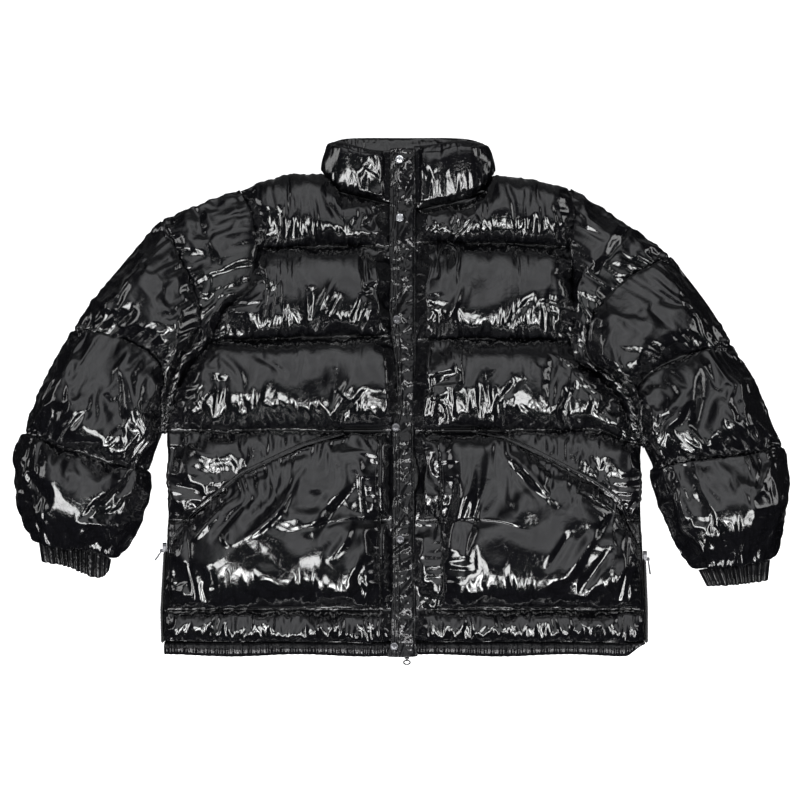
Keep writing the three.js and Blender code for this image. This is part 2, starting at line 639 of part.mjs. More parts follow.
function makeSleeve(side, table, cuff) {
  const rings = sleeveRings(table);
  const outside = loft(rings.map(({ line, shape, puff }) => flatRing(line, shape, puff)), SLEEVE_SIDES * 2);
  const kept = rings.filter((_, i) => i % 3 === 0 || i === rings.length - 1);
  const hollow = loft(kept.map(({ line, shape }) => hollowRing(line, shape.lumen)), HOLLOW_PAIRS);
  const intoBody = [side === 'right' ? 6 : -6, 0];
  const intoCuff = [0, -6];
  const cuffSpace = upright(pushedOut(cuffOutline(cuff), SEAM_GAP), -5, ABOVE_ALL);
  const cuts = [hollow, openEnd(rings[0], intoBody), openEnd(rings.at(-1), intoCuff)].map(toSolid);
  const solid = [...cuts, cuffSpace].reduce((rest, cut) => rest.subtract(cut), besideBody(outside));
  addPiece(`sleeve_${side}`, toGeometry(solid), nylon);
}

function cuffOutline(cuff) {
  const edges = [cuff.sleeve, cuff.hand].map((line) => curveThrough(line).getSpacedPoints(CUFF_GATHERS * 2));
  return counterclockwise([...edges[0], ...edges[1].reverse()].map((p) => [p.x, p.y]));
}

const CUFF_STEPS = [
  { along: 0, swell: 0.8 }, { along: 0.2, swell: 1 }, { along: 0.8, swell: 1 }, { along: 1, swell: 0.75 },
];

function makeCuff(side, cuff) {
  const start = curveThrough(cuff.sleeve);
  const end = curveThrough(cuff.hand);
  const sides = CUFF_GATHERS * 2;
  const place = (w, share) => start.getPointAt(w).lerp(end.getPointAt(w), share);
  const ringAt = (share, half) => Array.from({ length: sides * 2 }, (_, i) => {
    const isUpper = i < sides;
    const w = Math.min(1, (isUpper ? i : sides * 2 - i) / sides);
    const middle = (1 - Math.abs(2 * w - 1) ** 3) ** 0.5;
    const high = half * middle * (i % 2 === 0 ? 1 : 1 - CUFF_GATHER_DEPTH);
    const p = place(w, share);
    return [p.x, p.y, Math.max(0, CUFF_HEIGHT + (isUpper ? high : -high))];
  });
  const rings = CUFF_STEPS.map(({ along: share, swell }) => ringAt(share, CUFF_HEIGHT * swell));
  const slit = (share) => hollowRing((w) => [place(w, share).x, place(w, share).y], CUFF_HEIGHT);
  const solid = toSolid(loft(rings, sides * 2)).subtract(toSolid(loft([slit(-0.3), slit(1.3)], HOLLOW_PAIRS)));
  addPiece(`cuff_${side}`, toGeometry(solid), elastic);
}

// Collar

const COLLAR_STEPS = 34;

function makeCollar() {
  const seam = curveThrough(COLLAR.map((row) => row.seam));
  const top = curveThrough(COLLAR.map((row) => row.top));
  const sections = [];
  for (let i = 0; i <= COLLAR_STEPS; i += 1) {
    const t = i / COLLAR_STEPS;
    const base = seam.getPoint(t);
    const up = top.getPoint(t).sub(base);
    const run = seam.getTangent(t).add(top.getTangent(t)).setY(0).normalize();
    const out = new THREE.Vector3(run.z, 0, -run.x);
    sections.push(COLLAR_WALL.map((row) => {
      const p = base.clone().addScaledVector(up, row.up).addScaledVector(out, row.out);
      return [p.x, p.y, Math.max(0, p.z)];
    }));
  }
  const [low, high] = [COLLAR_START - 85, COLLAR_TOP + 60];
  const zipOutline = [[ZIP_LEFT, low], [ZIP_RIGHT, low], [ZIP_RIGHT, high], [ZIP_LEFT, high]];
  const zipSpace = upright(zipOutline, SEAM_PLANE - 6, ABOVE_ALL);
  const solid = besideBody(loft(sections)).subtract(zipSpace).subtract(placketSpace());
  addPiece('collar', toGeometry(solid), nylon);
}

// Placket, snaps and the space the placket lies in

function underPlacket(geometry) {
  return toGeometry(toSolid(geometry).subtract(placketSpace()));
}

function placketSpace() {
  const side = [
    [-420, shelfHeight(0)], [COLLAR_START, shelfHeight(0)], [COLLAR_TOP + 60, shelfHeight(COLLAR_TOP + 60)],
    [COLLAR_TOP + 60, 220], [-420, 220],
  ];
  const shape = new THREE.Shape(side.map(([y, z]) => new THREE.Vector2(y, z)));
  const geometry = new THREE.ExtrudeGeometry(shape, { depth: 2 * SHELF_HALF, bevelEnabled: false });
  const swap = new THREE.Matrix4().makeBasis(
    new THREE.Vector3(0, 1, 0), new THREE.Vector3(0, 0, 1), new THREE.Vector3(1, 0, 0));
  geometry.applyMatrix4(swap);
  geometry.translate(PLACKET_X - SHELF_HALF, 0, 0);
  return toSolid(geometry);
}

function makePlacket() {
  const rings = PLACKET.map(({ y, free, sewn }) => {
    const low = shelfHeight(y) + SEAM_GAP;
    const high = low + PLACKET_THICKNESS;
    return [
      [free, y, low], [sewn, y, low], [sewn, y, high - 2.4], [sewn - 3, y, high - 0.4],
      [mix(free, sewn, 0.5), y, high], [free + 3, y, high - 0.4], [free, y, high - 2.4],
    ];
  });
  addPiece('placket', loft(rings), nylon);
}

function makeSnaps() {
  const profile = [[0, 0], [1, 0], [1, 1], [0.82, 2.2], [0.5, 2.6], [0, 2.5]]
    .map(([share, z]) => new THREE.Vector2(share * SNAP_RADIUS, z));
  SNAPS.forEach(([x, y], i) => {
    const snap = addPiece(`snap_${i + 1}`, new THREE.LatheGeometry(profile, 14), snapMetal);
    const tilt = y > COLLAR_START ? Math.atan(COLLAR_SLOPE) : 0;
    snap.rotation.x = Math.PI / 2 + tilt;
    snap.position.set(x, y, shelfHeight(y) + PLACKET_THICKNESS + SEAM_GAP * 2 + (tilt > 0 ? 0.1 : 0));
  });
}

// Gathered hem band

function makeHemBand(name, from, to, isFront) {
  const steps = HEM_GATHERS * 2;
  const seam = isFront ? frontInside : SEAM_PLANE;
  const inner = HEM_SEAM - SEAM_GAP;
  const rings = [];
  for (let i = 0; i <= steps; i += 1) {
    const x = mix(from, to, i / steps);
    const thick = HEM_THICKNESS * (i % 2 === 0 ? 1 : 1 - HEM_GATHER_DEPTH);
    const edge = HEM_EDGE + HEM_CORNER * smooth(325, 356, x) + 1.6 * Math.sin(x / 31);
    const z = (share) => (isFront ? seam + thick * share : Math.max(0, seam - HEM_BACK_SHARE * thick * share));
    rings.push([
      [x, inner, seam], [x, edge + 3, seam], [x, edge, z(0.35)], [x, mix(edge, inner, 0.2), z(0.85)],
      [x, mix(edge, inner, 0.5), z(1)], [x, mix(edge, inner, 0.85), z(0.92)], [x, inner, z(0.7)],
    ]);
  }
  addPiece(name, loft(rings), nylon);
}

// Zips, sliders and pulls

// Places from a start to an end, with every given bend, and no run longer than the zip step
function zipPlaces(marks) {
  const places = [marks[0]];
  for (const mark of marks.slice(1)) {
    const from = places.at(-1);
    const runs = Math.ceil((mark - from) / ZIP_STEP);
    for (let i = 1; i <= runs; i += 1) places.push(mix(from, mark, i / runs));
  }
  return places;
}

function makeMainZip() {
  const half = (ZIP_RIGHT - ZIP_LEFT) / 2 - SEAM_GAP;
  const centre = (ZIP_LEFT + ZIP_RIGHT) / 2;
  const { tape, teeth, teethHalf, teethTop } = MAIN_ZIP;
  const rings = zipPlaces([MAIN_ZIP.start, COLLAR_START, COLLAR_TOP - MAIN_ZIP.belowTop]).map((y) => {
    const low = shelfHeight(y) - MAIN_ZIP.underShelf;
    return [[-half, 0], [half, 0], [half, tape], [teethHalf, tape], [teethTop, teeth], [-teethTop, teeth],
      [-teethHalf, tape], [-half, tape]].map(([x, z]) => [centre + x, y, low + z]);
  });
  addPiece('main_zip', loft(rings), zipTape);
}

// Zip tape on edge in a side seam, with its teeth outward; returns where its slider stands
function makeSideZip(side, top) {
  const toward = side === 'right' ? -1 : 1;
  const edge = side === 'right' ? FRONT_RIGHT : FRONT_LEFT;
  const bend = edge[1].seam.at(-1);
  const edgeX = (y) => {
    const [from, to] = y < bend[1] ? [edge[0].seam.at(-1), bend] : [bend, edge[1].edge[0]];
    return mix(from[0], to[0], (y - from[1]) / (to[1] - from[1]));
  };
  const { tape, high, teethOut, teethHalf, offBody } = SIDE_ZIP;
  const rings = zipPlaces([HEM_EDGE + 20, bend[1], top - SLIDER.length - SEAM_GAP]).map((y) => {
    const out = [[0, -0.5], [1, -0.5], [1, -teethHalf], [teethOut, -teethHalf], [teethOut, teethHalf],
      [1, teethHalf], [1, 0.5], [0, 0.5]];
    return out.map(([o, h]) => [edgeX(y) + toward * (offBody + o * tape), y, SEAM_PLANE + h * high]);
  });
  addPiece(`side_zip_${side}`, loft(rings), zipTape);
  return edgeX(top - SLIDER.length / 2) + toward * (offBody + tape);
}

// Slider in its own place: the zip runs along Y, its face looks along +Z, the pull hangs at -Y
function sliderGeometry() {
  const { width, length, thick, ear, earLength, earReach, earSunk, earForward } = SLIDER;
  const corners = [[-0.36, -0.5], [0.36, -0.5], [0.5, 0.1], [0.5, 0.38], [0.32, 0.5], [-0.32, 0.5],
    [-0.5, 0.38], [-0.5, 0.1]];
  const outline = new THREE.Shape(corners.map(([x, y]) => new THREE.Vector2(x * width, y * length)));
  const body = new THREE.ExtrudeGeometry(outline, { depth: thick, bevelEnabled: false });
  body.translate(0, 0, -thick / 2);
  let solid = toSolid(body);
  for (const x of [-1, 1]) {
    const block = new THREE.BoxGeometry(ear, earLength, earReach);
    const gap = HINGE.lugWidth / 2 + SEAM_GAP;
    block.translate(x * (gap + ear / 2), HINGE.y + earForward, (thick + earReach) / 2 - earSunk);
    solid = solid.add(toSolid(block));
  }
  return toGeometry(solid);
}

// Pull with its hinge along X through the origin, hanging toward -Y
function pullGeometry(kind) {
  const lug = new THREE.CylinderGeometry(HINGE.lug, HINGE.lug, HINGE.lugWidth, 12);
  lug.rotateZ(Math.PI / 2);
  let solid = toSolid(lug);
  const link = new THREE.BoxGeometry(LINK.width, LINK.length, LINK.thick);
  link.translate(0, -LINK.length / 2, 0);
  solid = solid.add(toSolid(link));
  if (kind === 'ring') {
    const ring = new THREE.TorusGeometry(RING_PULL.radius, RING_PULL.wire, 8, 20);
    ring.translate(0, RING_PULL.centre, 0);
    return toGeometry(solid.add(toSolid(ring)));
  }
  if (kind === 'tab') {
    const tab = new THREE.BoxGeometry(TAB_PULL.width, TAB_PULL.length, TAB_PULL.thick);
    tab.translate(0, TAB_PULL.centre, 0);
    return toGeometry(solid.add(toSolid(tab)));
  }
  for (const x of [-1, 1]) {
    const prong = new THREE.BoxGeometry(PRONG_PULL.width, PRONG_PULL.length, PRONG_PULL.thick);
    prong.rotateZ(x * PRONG_PULL.splay);
    prong.translate(x * PRONG_PULL.spread, PRONG_PULL.centre, 0);
    solid = solid.add(toSolid(prong));
  }
  return toGeometry(solid);
}

// Slider and pull in a turned frame; the pull leans out of the zip's plane by an angle
function placeSlider(name, position, turn, kind, leanDegrees) {
  const lean = THREE.MathUtils.degToRad(leanDegrees);
  const slider = addPiece(name.replace('zip', 'slider'), sliderGeometry(), zipMetal);
  const pull = addPiece(name.replace('zip', 'pull'), pullGeometry(kind), zipMetal);
  slider.rotation.y = turn;
  slider.position.set(...position);
  const hinge = new THREE.Vector3(0, HINGE.y, HINGE.z).applyAxisAngle(new THREE.Vector3(0, 1, 0), turn);
  pull.quaternion.setFromAxisAngle(new THREE.Vector3(0, 1, 0), turn)
    .multiply(new THREE.Quaternion().setFromAxisAngle(new THREE.Vector3(1, 0, 0), lean));
  pull.position.set(...position).add(hinge);
}

makePanels();
makePocket('right', POCKET_RIGHT, rightGrid, rightFront);
makePocket('left', POCKET_LEFT, leftGrid, leftFront);
makeSleeve('right', SLEEVE_RIGHT, CUFF_RIGHT);
makeSleeve('left', SLEEVE_LEFT, CUFF_LEFT);
makeCuff('right', CUFF_RIGHT);
makeCuff('left', CUFF_LEFT);
makeCollar();
makePlacket();
makeSnaps();
makeHemBand('hem_binding_right', -342, ZIP_LEFT - 1, true);
makeHemBand('hem_binding_left', ZIP_RIGHT + 1, 355, true);
makeHemBand('hem_binding_back', -342, 355, false);
makeMainZip();
const mainSliderY = MAIN_ZIP.start - SLIDER.length / 2 - SEAM_GAP;
const mainSliderAt = [(ZIP_LEFT + ZIP_RIGHT) / 2, mainSliderY, SEAM_PLANE + MAIN_ZIP.sliderLift];
const rightZipX = makeSideZip('right', SIDE_ZIP_TOP_RIGHT);
const leftZipX = makeSideZip('left', SIDE_ZIP_TOP_LEFT);
const rightSliderAt = [rightZipX - 1, SIDE_ZIP_TOP_RIGHT - SLIDER.length / 2, SEAM_PLANE];
const leftSliderAt = [leftZipX + 1, SIDE_ZIP_TOP_LEFT - SLIDER.length / 2, SEAM_PLANE];
placeSlider('main_zip', mainSliderAt, 0, 'ring', 45);
placeSlider('side_zip_right', rightSliderAt, -Math.PI / 2, 'tab', -35);
placeSlider('side_zip_left', leftSliderAt, Math.PI / 2, 'prongs', -8);

export default jacket;
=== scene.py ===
"""Glossy puffer jacket laid flat: padded shells, gathers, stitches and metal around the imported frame."""

import math

import bpy
import numpy as np
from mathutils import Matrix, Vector


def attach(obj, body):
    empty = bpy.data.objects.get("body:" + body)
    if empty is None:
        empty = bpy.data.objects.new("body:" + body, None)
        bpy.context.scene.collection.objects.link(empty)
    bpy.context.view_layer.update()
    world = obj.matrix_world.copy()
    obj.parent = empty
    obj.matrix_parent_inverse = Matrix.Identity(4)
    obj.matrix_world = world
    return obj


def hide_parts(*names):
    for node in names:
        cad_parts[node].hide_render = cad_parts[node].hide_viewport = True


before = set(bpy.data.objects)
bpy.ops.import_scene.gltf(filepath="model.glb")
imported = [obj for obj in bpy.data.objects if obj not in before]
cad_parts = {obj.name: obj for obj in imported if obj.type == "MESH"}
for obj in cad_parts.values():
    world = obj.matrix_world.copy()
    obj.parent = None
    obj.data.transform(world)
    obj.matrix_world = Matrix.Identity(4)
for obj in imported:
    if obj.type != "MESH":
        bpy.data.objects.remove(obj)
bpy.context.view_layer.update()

# Lengths are in millimetres, as on the paper pattern, and MM turns them into metres
MM = 0.001
# The back and the fronts meet in one plane. Every seam keeps some padding above or below it
SEAM_PLANE = 34.0
SEAM_GAP = 0.3
SEAM_PADDING = 9.0
BACK_SAG = 52.0
# Distances over which a front rises from its side and from the placket
SIDE_ROUND = 38.0
FRONT_RISE = 20.0
# The placket lies on a shelf that slopes up from the foot of the collar
SHELF = 14.0
SHELF_HALF = 26.0
PLACKET_X = 2.0
PLACKET_THICKNESS = 7.0
PLACKET_RIM = 1.6
COLLAR_START = 285.0
COLLAR_SLOPE = 0.17
COLLAR_WIDTH = 70
ARMHOLE_OVERLAP = 1.4
HEM_SEAM = -349.5
HEM_EDGE = -371.0
HEM_STEP = 1.3
HEM_THICKNESS = 13
POCKET_EDGE = 4.0
POCKET_DOME = 31.0
# A pocket welt: its width as it shows, how much more the cloth round it measures, and its depth
WELT_DEPTH = 3.4
SNAP_RADIUS = 6.0
# Stitches: distance from one to the next, the share of it that is thread, half its thickness
STITCH_PITCH = 3.4
STITCH_SHARE = 0.72
STITCH_HALF = 0.42
PUCKER_PITCH = 13.0
PUCKER_DEPTH = 2.6
PUCKER_REACH = 17.0
# How finely each piece is meshed
CLOTH_STEP = 4.4
FRONT_COLUMNS = 84
BACK_COLUMNS = 130
POCKET_COLUMNS = 66
POCKET_ROWS = 54
SLEEVE_TOP_POINTS = 80
SLEEVE_UNDER_POINTS = 34
WELT_POINTS = 110
PLACKET_COLUMNS = 33
PLACKET_ROWS = 330
SNAP_SIDES = 48
FOLD_POINTS = 33
# How far a sharp fold reaches, and the distance given to points that no crease may touch
FOLD_REACH = 30.0
FAR_AWAY = 900.0
# Each baffle's places along its seams are set this far apart, so that every baffle creases in its own way
APART = 1000
LOOKUPS_AT_ONCE = 400

# Which way is outward, along X, on the wearer's right and left
OUTWARD = {"right": -1, "left": 1}

# Fronts, hem to shoulder: quilting seam from zip to side, outer edge up to the next seam, padding
FRONTS = {
    "right": [
        dict(seam=[(0, -349.5), (-342, -349.5)], edge=[], padding=22),
        dict(seam=[(0, -303), (-343, -303)], edge=[(-339, -230)], padding=24),
        dict(seam=[(0, -173), (-336, -173)], edge=[(-336, -100)], padding=30),
        dict(seam=[(0, -43.5), (-338, -43.5)], edge=[(-325, 10), (-306, 46)], padding=43),
        dict(seam=[(0, 92), (-140, 90), (-245, 86), (-280, 80)],
             edge=[(-255, 128), (-225, 161), (-215, 199)], padding=43),
        dict(seam=[(0, 222), (-120, 221), (-210, 218)], edge=[(-216, 268)], padding=38),
        dict(seam=[(0, 280), (-19, 283), (-58, 294), (-86, 301), (-112, 329), (-158, 327),
                   (-181, 322), (-207, 315), (-231, 303)]),
    ],
    "left": [
        dict(seam=[(20, -349.5), (355, -349.5)], edge=[], padding=22),
        dict(seam=[(20, -303), (355, -303)], edge=[(352, -230)], padding=24),
        dict(seam=[(20, -173), (349, -173)], edge=[(348, -110)], padding=30),
        dict(seam=[(20, -43.5), (290, -43.5), (349, -66)],
             edge=[(319, 0), (292, 32), (257, 54)], padding=43),
        dict(seam=[(20, 87), (203, 87), (252, 82)], edge=[(250, 150), (249, 184)], padding=43),
        dict(seam=[(20, 228), (130, 226), (248, 221)], edge=[(252, 268)], padding=38),
        dict(seam=[(20, 273), (51, 278), (97, 286), (117, 300), (139, 327), (176, 323),
                   (210, 316), (229, 311), (247, 304)]),
    ],
}
# Points of the back's seams between their two outer ends, hem to shoulder
BACK_MIDDLES = [
    [], [], [], [(-200, -43), (0, -42), (290, -44)], [(0, 88)], [(0, 224)],
    [(-207, 315), (-181, 322), (-158, 327), (-112, 329), (-80, 317), (11, 312), (102, 317),
     (139, 327), (176, 323), (210, 316), (229, 311)],
]
# Broad folds: x, y, length, width, direction in degrees, height
FOLDS = [
    (-130, 155, 150, 44, 100, -6), (-215, 5, 120, 40, 62, 7), (-95, 30, 110, 40, 75, -6),
    (120, 150, 130, 44, 84, -6), (205, 20, 130, 44, 118, 7), (-185, -175, 190, 46, 38, 8),
    (-110, -230, 150, 44, 70, -7), (95, -150, 170, 44, 110, 8), (250, -210, 150, 50, 125, -7),
    (-400, 110, 110, 46, 60, -8), (-470, -20, 120, 48, 75, 7), (-400, -30, 110, 44, 118, -8),
    (-470, -150, 110, 44, 60, -7), (400, 120, 110, 46, 118, -7), (440, 0, 130, 46, 70, -9),
    (505, -150, 120, 48, 80, 7),
]
# Sleeve rings from the armhole to the cuff seam: line from the outer to the inner edge, heights, and
# the padding and edge bulges of the baffle that follows
SLEEVES = {
    "right": [
        dict(line=[(-229, 304), (-212, 268), (-206, 222), (-210, 196), (-220, 158),
                   (-250, 124), (-276, 76), (-301, 42), (-320, 8), (-334, -46)],
             top=44, floor=24, lumen=34.2, square=9, padding=26, outer=5, inner=0),
        dict(line=[(-344, 258), (-318, 205), (-296, 158), (-287, 112), (-301, 76),
                   (-320, 44), (-333, 8), (-342, -49)],
             top=54, floor=10, lumen=35, square=2.8, padding=42, outer=12, inner=0),
        dict(line=[(-470, 100), (-425, 93), (-380, 80), (-349, 60), (-338, 34), (-340, 4), (-347, -52)],
             top=56, floor=8, lumen=36, square=2.6, padding=44, outer=13, inner=2),
        dict(line=[(-539, -49), (-480, -68), (-420, -87), (-368, -101)],
             top=54, floor=7, lumen=34, square=2.6, padding=40, outer=28, inner=20),
        dict(line=[(-528, -206), (-492, -214), (-447, -219), (-421, -232)],
             top=38, floor=5, lumen=21, square=2.8),
    ],
    "left": [
        dict(line=[(245, 306), (248, 268), (244, 222), (245, 184), (247, 101), (249, 58),
                   (285, 34), (313, 3), (344, -66)],
             top=44, floor=24, lumen=34.2, square=9, padding=26, outer=9, inner=0),
        dict(line=[(389, 206), (322, 168), (278, 118), (268, 84), (276, 58), (303, 38),
                   (331, 5), (353, -69)],
             top=54, floor=10, lumen=35, square=2.8, padding=42, outer=12, inner=0),
        dict(line=[(477, 80), (422, 66), (366, 42), (338, 14), (343, -16), (358, -72)],
             top=56, floor=8, lumen=36, square=2.6, padding=44, outer=8, inner=2),
        dict(line=[(551, -68), (470, -80), (403, -90), (367, -98)],
             top=54, floor=7, lumen=34, square=2.6, padding=40, outer=17, inner=16),
        dict(line=[(541, -232), (490, -239), (434, -247)],
             top=38, floor=5, lumen=21, square=2.8),
    ],
}
CUFFS = {
    "right": dict(sleeve=[(-527, -207), (-491, -215), (-447, -220), (-421, -233)],
                  hand=[(-523, -235), (-486, -241), (-436, -258), (-424, -248)]),
    "left": dict(sleeve=[(540, -233), (490, -240), (435, -248)],
                 hand=[(537, -262), (489, -268), (447, -271)]),
}
CUFF_GATHERS = 13
CUFF_ROWS = 16
CUFF_HALF = 19
CUFF_RIDGE = 10
CUFF_HEIGHT = 17
# How the cuff turns in at the hand: place along the cuff, how far it is open
CUFF_MOUTH = [(1.0, 0.35), (0.86, 0.12), (0.3, 0.1)]
SIDE_ZIP_TOPS = {"right": -207, "left": -219}
TOOTH_PITCH = 2.0
TOOTH_OUT = 4.0
TOOTH_SECTION = [(-1, -0.6), (-0.6, -1), (0.6, -1), (1, -0.6), (1, 0.6), (0.6, 1), (-0.6, 1), (-1, 0.6)]
# Collar stations from the wearer's right front end round the back to the left one: seam, top edge
COLLAR = [
    ((0, 281, 41), (0, 361, 55)),
    ((-24, 285, 41.5), (-24, 358, 58)),
    ((-58, 294.5, 42), (-62, 364, 64)),
    ((-88, 303, 41), (-82, 371, 58)),
    ((-106, 326, 36), (-91, 375, 38)),
    ((-92, 322, 22), (-80, 380, 19)),
    ((-58, 318, 16), (-50, 382, 11)),
    ((11, 315, 14), (11, 382, 10)),
    ((82, 318, 16), (72, 382, 11)),
    ((116, 322, 22), (102, 379, 19)),
    ((130, 326, 36), (114, 373, 38)),
    ((112, 300, 41), (104, 371, 58)),
    ((84, 286, 42), (80, 372, 64)),
    ((52, 279, 42), (50, 367, 62)),
    ((29, 275, 41.5), (29, 365, 58)),
    ((20, 273.5, 41), (20, 365, 56)),
]
# Collar wall from its seam up the outside and down the inside: place up the wall, distance out
COLLAR_WALL = [(0, 3.5), (0.1, 8), (0.35, 12), (0.65, 12), (0.9, 8), (1, 2.5), (1, -2.5),
               (0.92, -5.5), (0.5, -6.5), (0.08, -6), (0, -4)]
POCKETS = {
    "right": dict(
        opening=[(-29, -48), (-65, -46), (-139, -68), (-225, -109), (-265, -142), (-296, -168),
                 (-331, -211)],
        bottom=[(-26, -300), (-333, -300)]),
    "left": dict(
        opening=[(53, -50), (107, -48), (148, -56), (186, -74), (229, -96), (274, -120),
                 (310, -144), (344, -213)],
        bottom=[(61, -300), (348, -300)]),
}
# Section of a pocket welt: distance from the opening, height over the front
WELT_PROFILE = [(0.4, 4.2), (1.2, 5.4), (2.4, 4.9), (4, 5.7), (5.6, 4.9), (6.9, 5.2), (7.8, 3.6)]
# Placket from the hem up: y, x of its free edge, x of its sewn edge
PLACKET = [
    (-371, -21, 26), (-350, -14, 24), (-290, -12, 23), (-39, -11, 20), (-7, -5, 22),
    (72, -10, 24), (130, -16, 24), (285, -16, 24), (362, -15, 22),
]
# Section of the hem band: share of its width from the edge, share of its thickness
HEM_PROFILE = [(0.0, 0.0), (0.0, 0.16), (0.03, 0.4), (0.1, 0.66), (0.22, 0.86), (0.38, 0.97), (0.55, 1.0),
               (0.72, 0.96), (0.86, 0.85), (0.96, 0.68), (1.0, 0.45), (1.0, 0.0)]
# Hem bands: first and last x
HEM_BANDS = {"right": (-342, -1), "left": (21, 355), "back": (-342, 355)}
# Shares of the placket's width where its seams run
PLACKET_SEAMS = (0.13, 0.27, 0.93)
# Section of a snap cap's rim, groove and dome: share of the radius, height
SNAP_PROFILE = [(0.8, -2), (0.97, 0.2), (1, 0.9), (0.96, 1.5), (0.88, 1.85), (0.8, 1.8),
                (0.74, 1.5), (0.66, 1.6), (0.45, 2.05), (0.2, 2.3)]
# Snap caps from the collar down: x, y
SNAPS = [(-0.7, 345.8), (0, 262.9), (-4.6, 116.4), (-6, -39.3), (0.3, -200.7), (-8.4, -354.7)]

# Sharp folds seen in the cloth: half-width, height and line in plan; a trough has a negative height
SHARP_FOLDS = {
    "pocket_patch_right": [
        (5, 6, [(-239, -207), (-210, -190), (-170, -154), (-145, -108), (-133, -88)]),
        (4, 5, [(-243, -183), (-247, -198), (-239, -207)]),
        (9, -6, [(-225, -180), (-190, -150), (-160, -112)]),
        (5, 5, [(-296, -202), (-262, -166), (-226, -130)]),
        (6, -5, [(-270, -205), (-240, -166), (-200, -128)]),
        (10, 6, [(-139, -193), (-108, -152), (-73, -113)]),
        (7, -4, [(-120, -205), (-92, -160), (-58, -118)]),
        (6, 4, [(-105, -232), (-82, -204), (-66, -172)]),
        (7, 4, [(-78, -262), (-62, -232), (-48, -205)]),
        (5, -3, [(-180, -96), (-150, -80), (-120, -74)]),
        (5, -3.5, [(-45, -285), (-58, -262), (-62, -240)]),
    ],
    "pocket_patch_left": [
        (7, 6, [(70, -240), (76, -190), (92, -140), (106, -95)]),
        (6, -5, [(88, -236), (98, -190), (112, -150), (124, -112)]),
        (5, -4, [(60, -180), (72, -140), (78, -100)]),
        (6, 5, [(146, -66), (172, -92), (204, -128), (228, -152)]),
        (7, -5, [(150, -86), (176, -116), (205, -146)]),
        (5, -4, [(166, -62), (196, -84), (232, -120)]),
        (9, 6, [(228, -262), (252, -226), (276, -190), (292, -160)]),
        (7, -5, [(256, -276), (280, -240), (304, -205)]),
        (6, -4, [(206, -246), (226, -216), (246, -184)]),
        (6, 4, [(300, -270), (316, -244), (326, -222)]),
    ],
    "shell_front_right": [
        (5, -3, [(-186, 300), (-176, 262), (-170, 240)]),
        (5, -3.5, [(-110, 296), (-96, 270), (-80, 248)]),
        (4, -3, [(-60, 276), (-50, 258), (-36, 238)]),
        (5, -3.5, [(-215, 200), (-196, 172), (-190, 150)]),
        (6, 5, [(-128, 108), (-112, 132), (-100, 158), (-92, 176)]),
        (5, -4, [(-108, 104), (-96, 128), (-84, 152)]),
        (4, -3, [(-70, 108), (-60, 130), (-52, 152)]),
        (6, -4, [(-262, 72), (-230, 40), (-222, 8)]),
        (5, -3, [(-212, 66), (-180, 50), (-160, 30)]),
        (6, 5, [(-108, -32), (-86, -2), (-66, 34)]),
        (5, -4, [(-92, -36), (-66, -8), (-44, 18)]),
        (6, 4, [(-226, -32), (-204, -2), (-196, 24)]),
        (6, 4, [(-300, -24), (-280, 6), (-262, 22)]),
        (5, 3.5, [(-310, -60), (-280, -80), (-246, -84)]),
        (6, -3, [(-300, -96), (-268, -106), (-240, -100)]),
    ],
    "shell_front_left": [
        (5, -3.5, [(150, 316), (162, 280), (166, 248)]),
        (5, -3, [(196, 296), (204, 268), (206, 240)]),
        (4, -3, [(104, 276), (116, 258), (122, 240)]),
        (5, 4, [(62, 104), (78, 136), (88, 168)]),
        (6, -4, [(150, 100), (170, 126), (196, 150)]),
        (5, -3.5, [(226, 104), (214, 136), (216, 166)]),
        (5, 4, [(44, -28), (50, 10), (46, 52)]),
        (6, -4.5, [(128, -30), (146, 2), (172, 30)]),
        (6, 4, [(206, -36), (222, -6), (246, 18)]),
        (5, -4, [(268, -30), (276, 0), (262, 26)]),
    ],
    "shell_sleeve_right": [
        (4, 5, [(-283, 230), (-270, 190), (-258, 150), (-250, 134)]),
        (5, -4, [(-306, 222), (-296, 196), (-290, 166)]),
        (5, -4, [(-352, 250), (-336, 222), (-322, 190)]),
        (5, 4.5, [(-405, 150), (-398, 120), (-388, 96)]),
        (5, -4, [(-440, 132), (-424, 114), (-408, 100)]),
        (5, 4, [(-384, 84), (-362, 72), (-345, 62)]),
        (7, -5, [(-372, 34), (-384, 0), (-402, -40)]),
        (7, 5, [(-452, 62), (-442, 20), (-446, -26)]),
        (6, -5, [(-500, 10), (-484, -20), (-470, -58)]),
        (6, 5, [(-410, -96), (-396, -130), (-400, -164)]),
        (7, -5, [(-464, -84), (-452, -120), (-458, -160)]),
        (6, 4, [(-520, -80), (-506, -118), (-500, -158)]),
        (5, 4, [(-430, -210), (-438, -184), (-452, -160)]),
    ],
    "shell_sleeve_left": [
        (5, 4, [(262, 232), (276, 196), (284, 160)]),
        (5, -4, [(300, 226), (306, 200), (300, 172)]),
        (4, 4, [(268, 158), (290, 150), (305, 154)]),
        (5, 6, [(392, 40), (360, 24), (334, 16), (322, 30)]),
        (6, -5, [(336, 14), (352, -20), (362, -60)]),
        (7, 5, [(370, 34), (400, -14), (440, -62)]),
        (6, -5, [(404, 46), (430, 4), (462, -44)]),
        (7, 5, [(452, 40), (466, 4), (490, -40)]),
        (6, -4, [(496, 30), (504, -6), (520, -44)]),
        (7, -5, [(420, -104), (436, -140), (430, -180)]),
        (7, 5, [(470, -96), (484, -130), (476, -176)]),
        (6, -4, [(520, -92), (516, -130), (524, -170)]),
    ],
}
# Short creases that fan out of a gathered seam
GATHERED = dict(pitch=11, longest=56, depth=3.6, width=3.2)
GATHERED_ABOVE = dict(pitch=10, longest=30, depth=1.8, width=2.4)
CRUMPLED = dict(pitch=7, longest=30, depth=1.5, width=2.4)
SEWN_EDGE = dict(pitch=6, longest=13, depth=1.8, width=1.4)

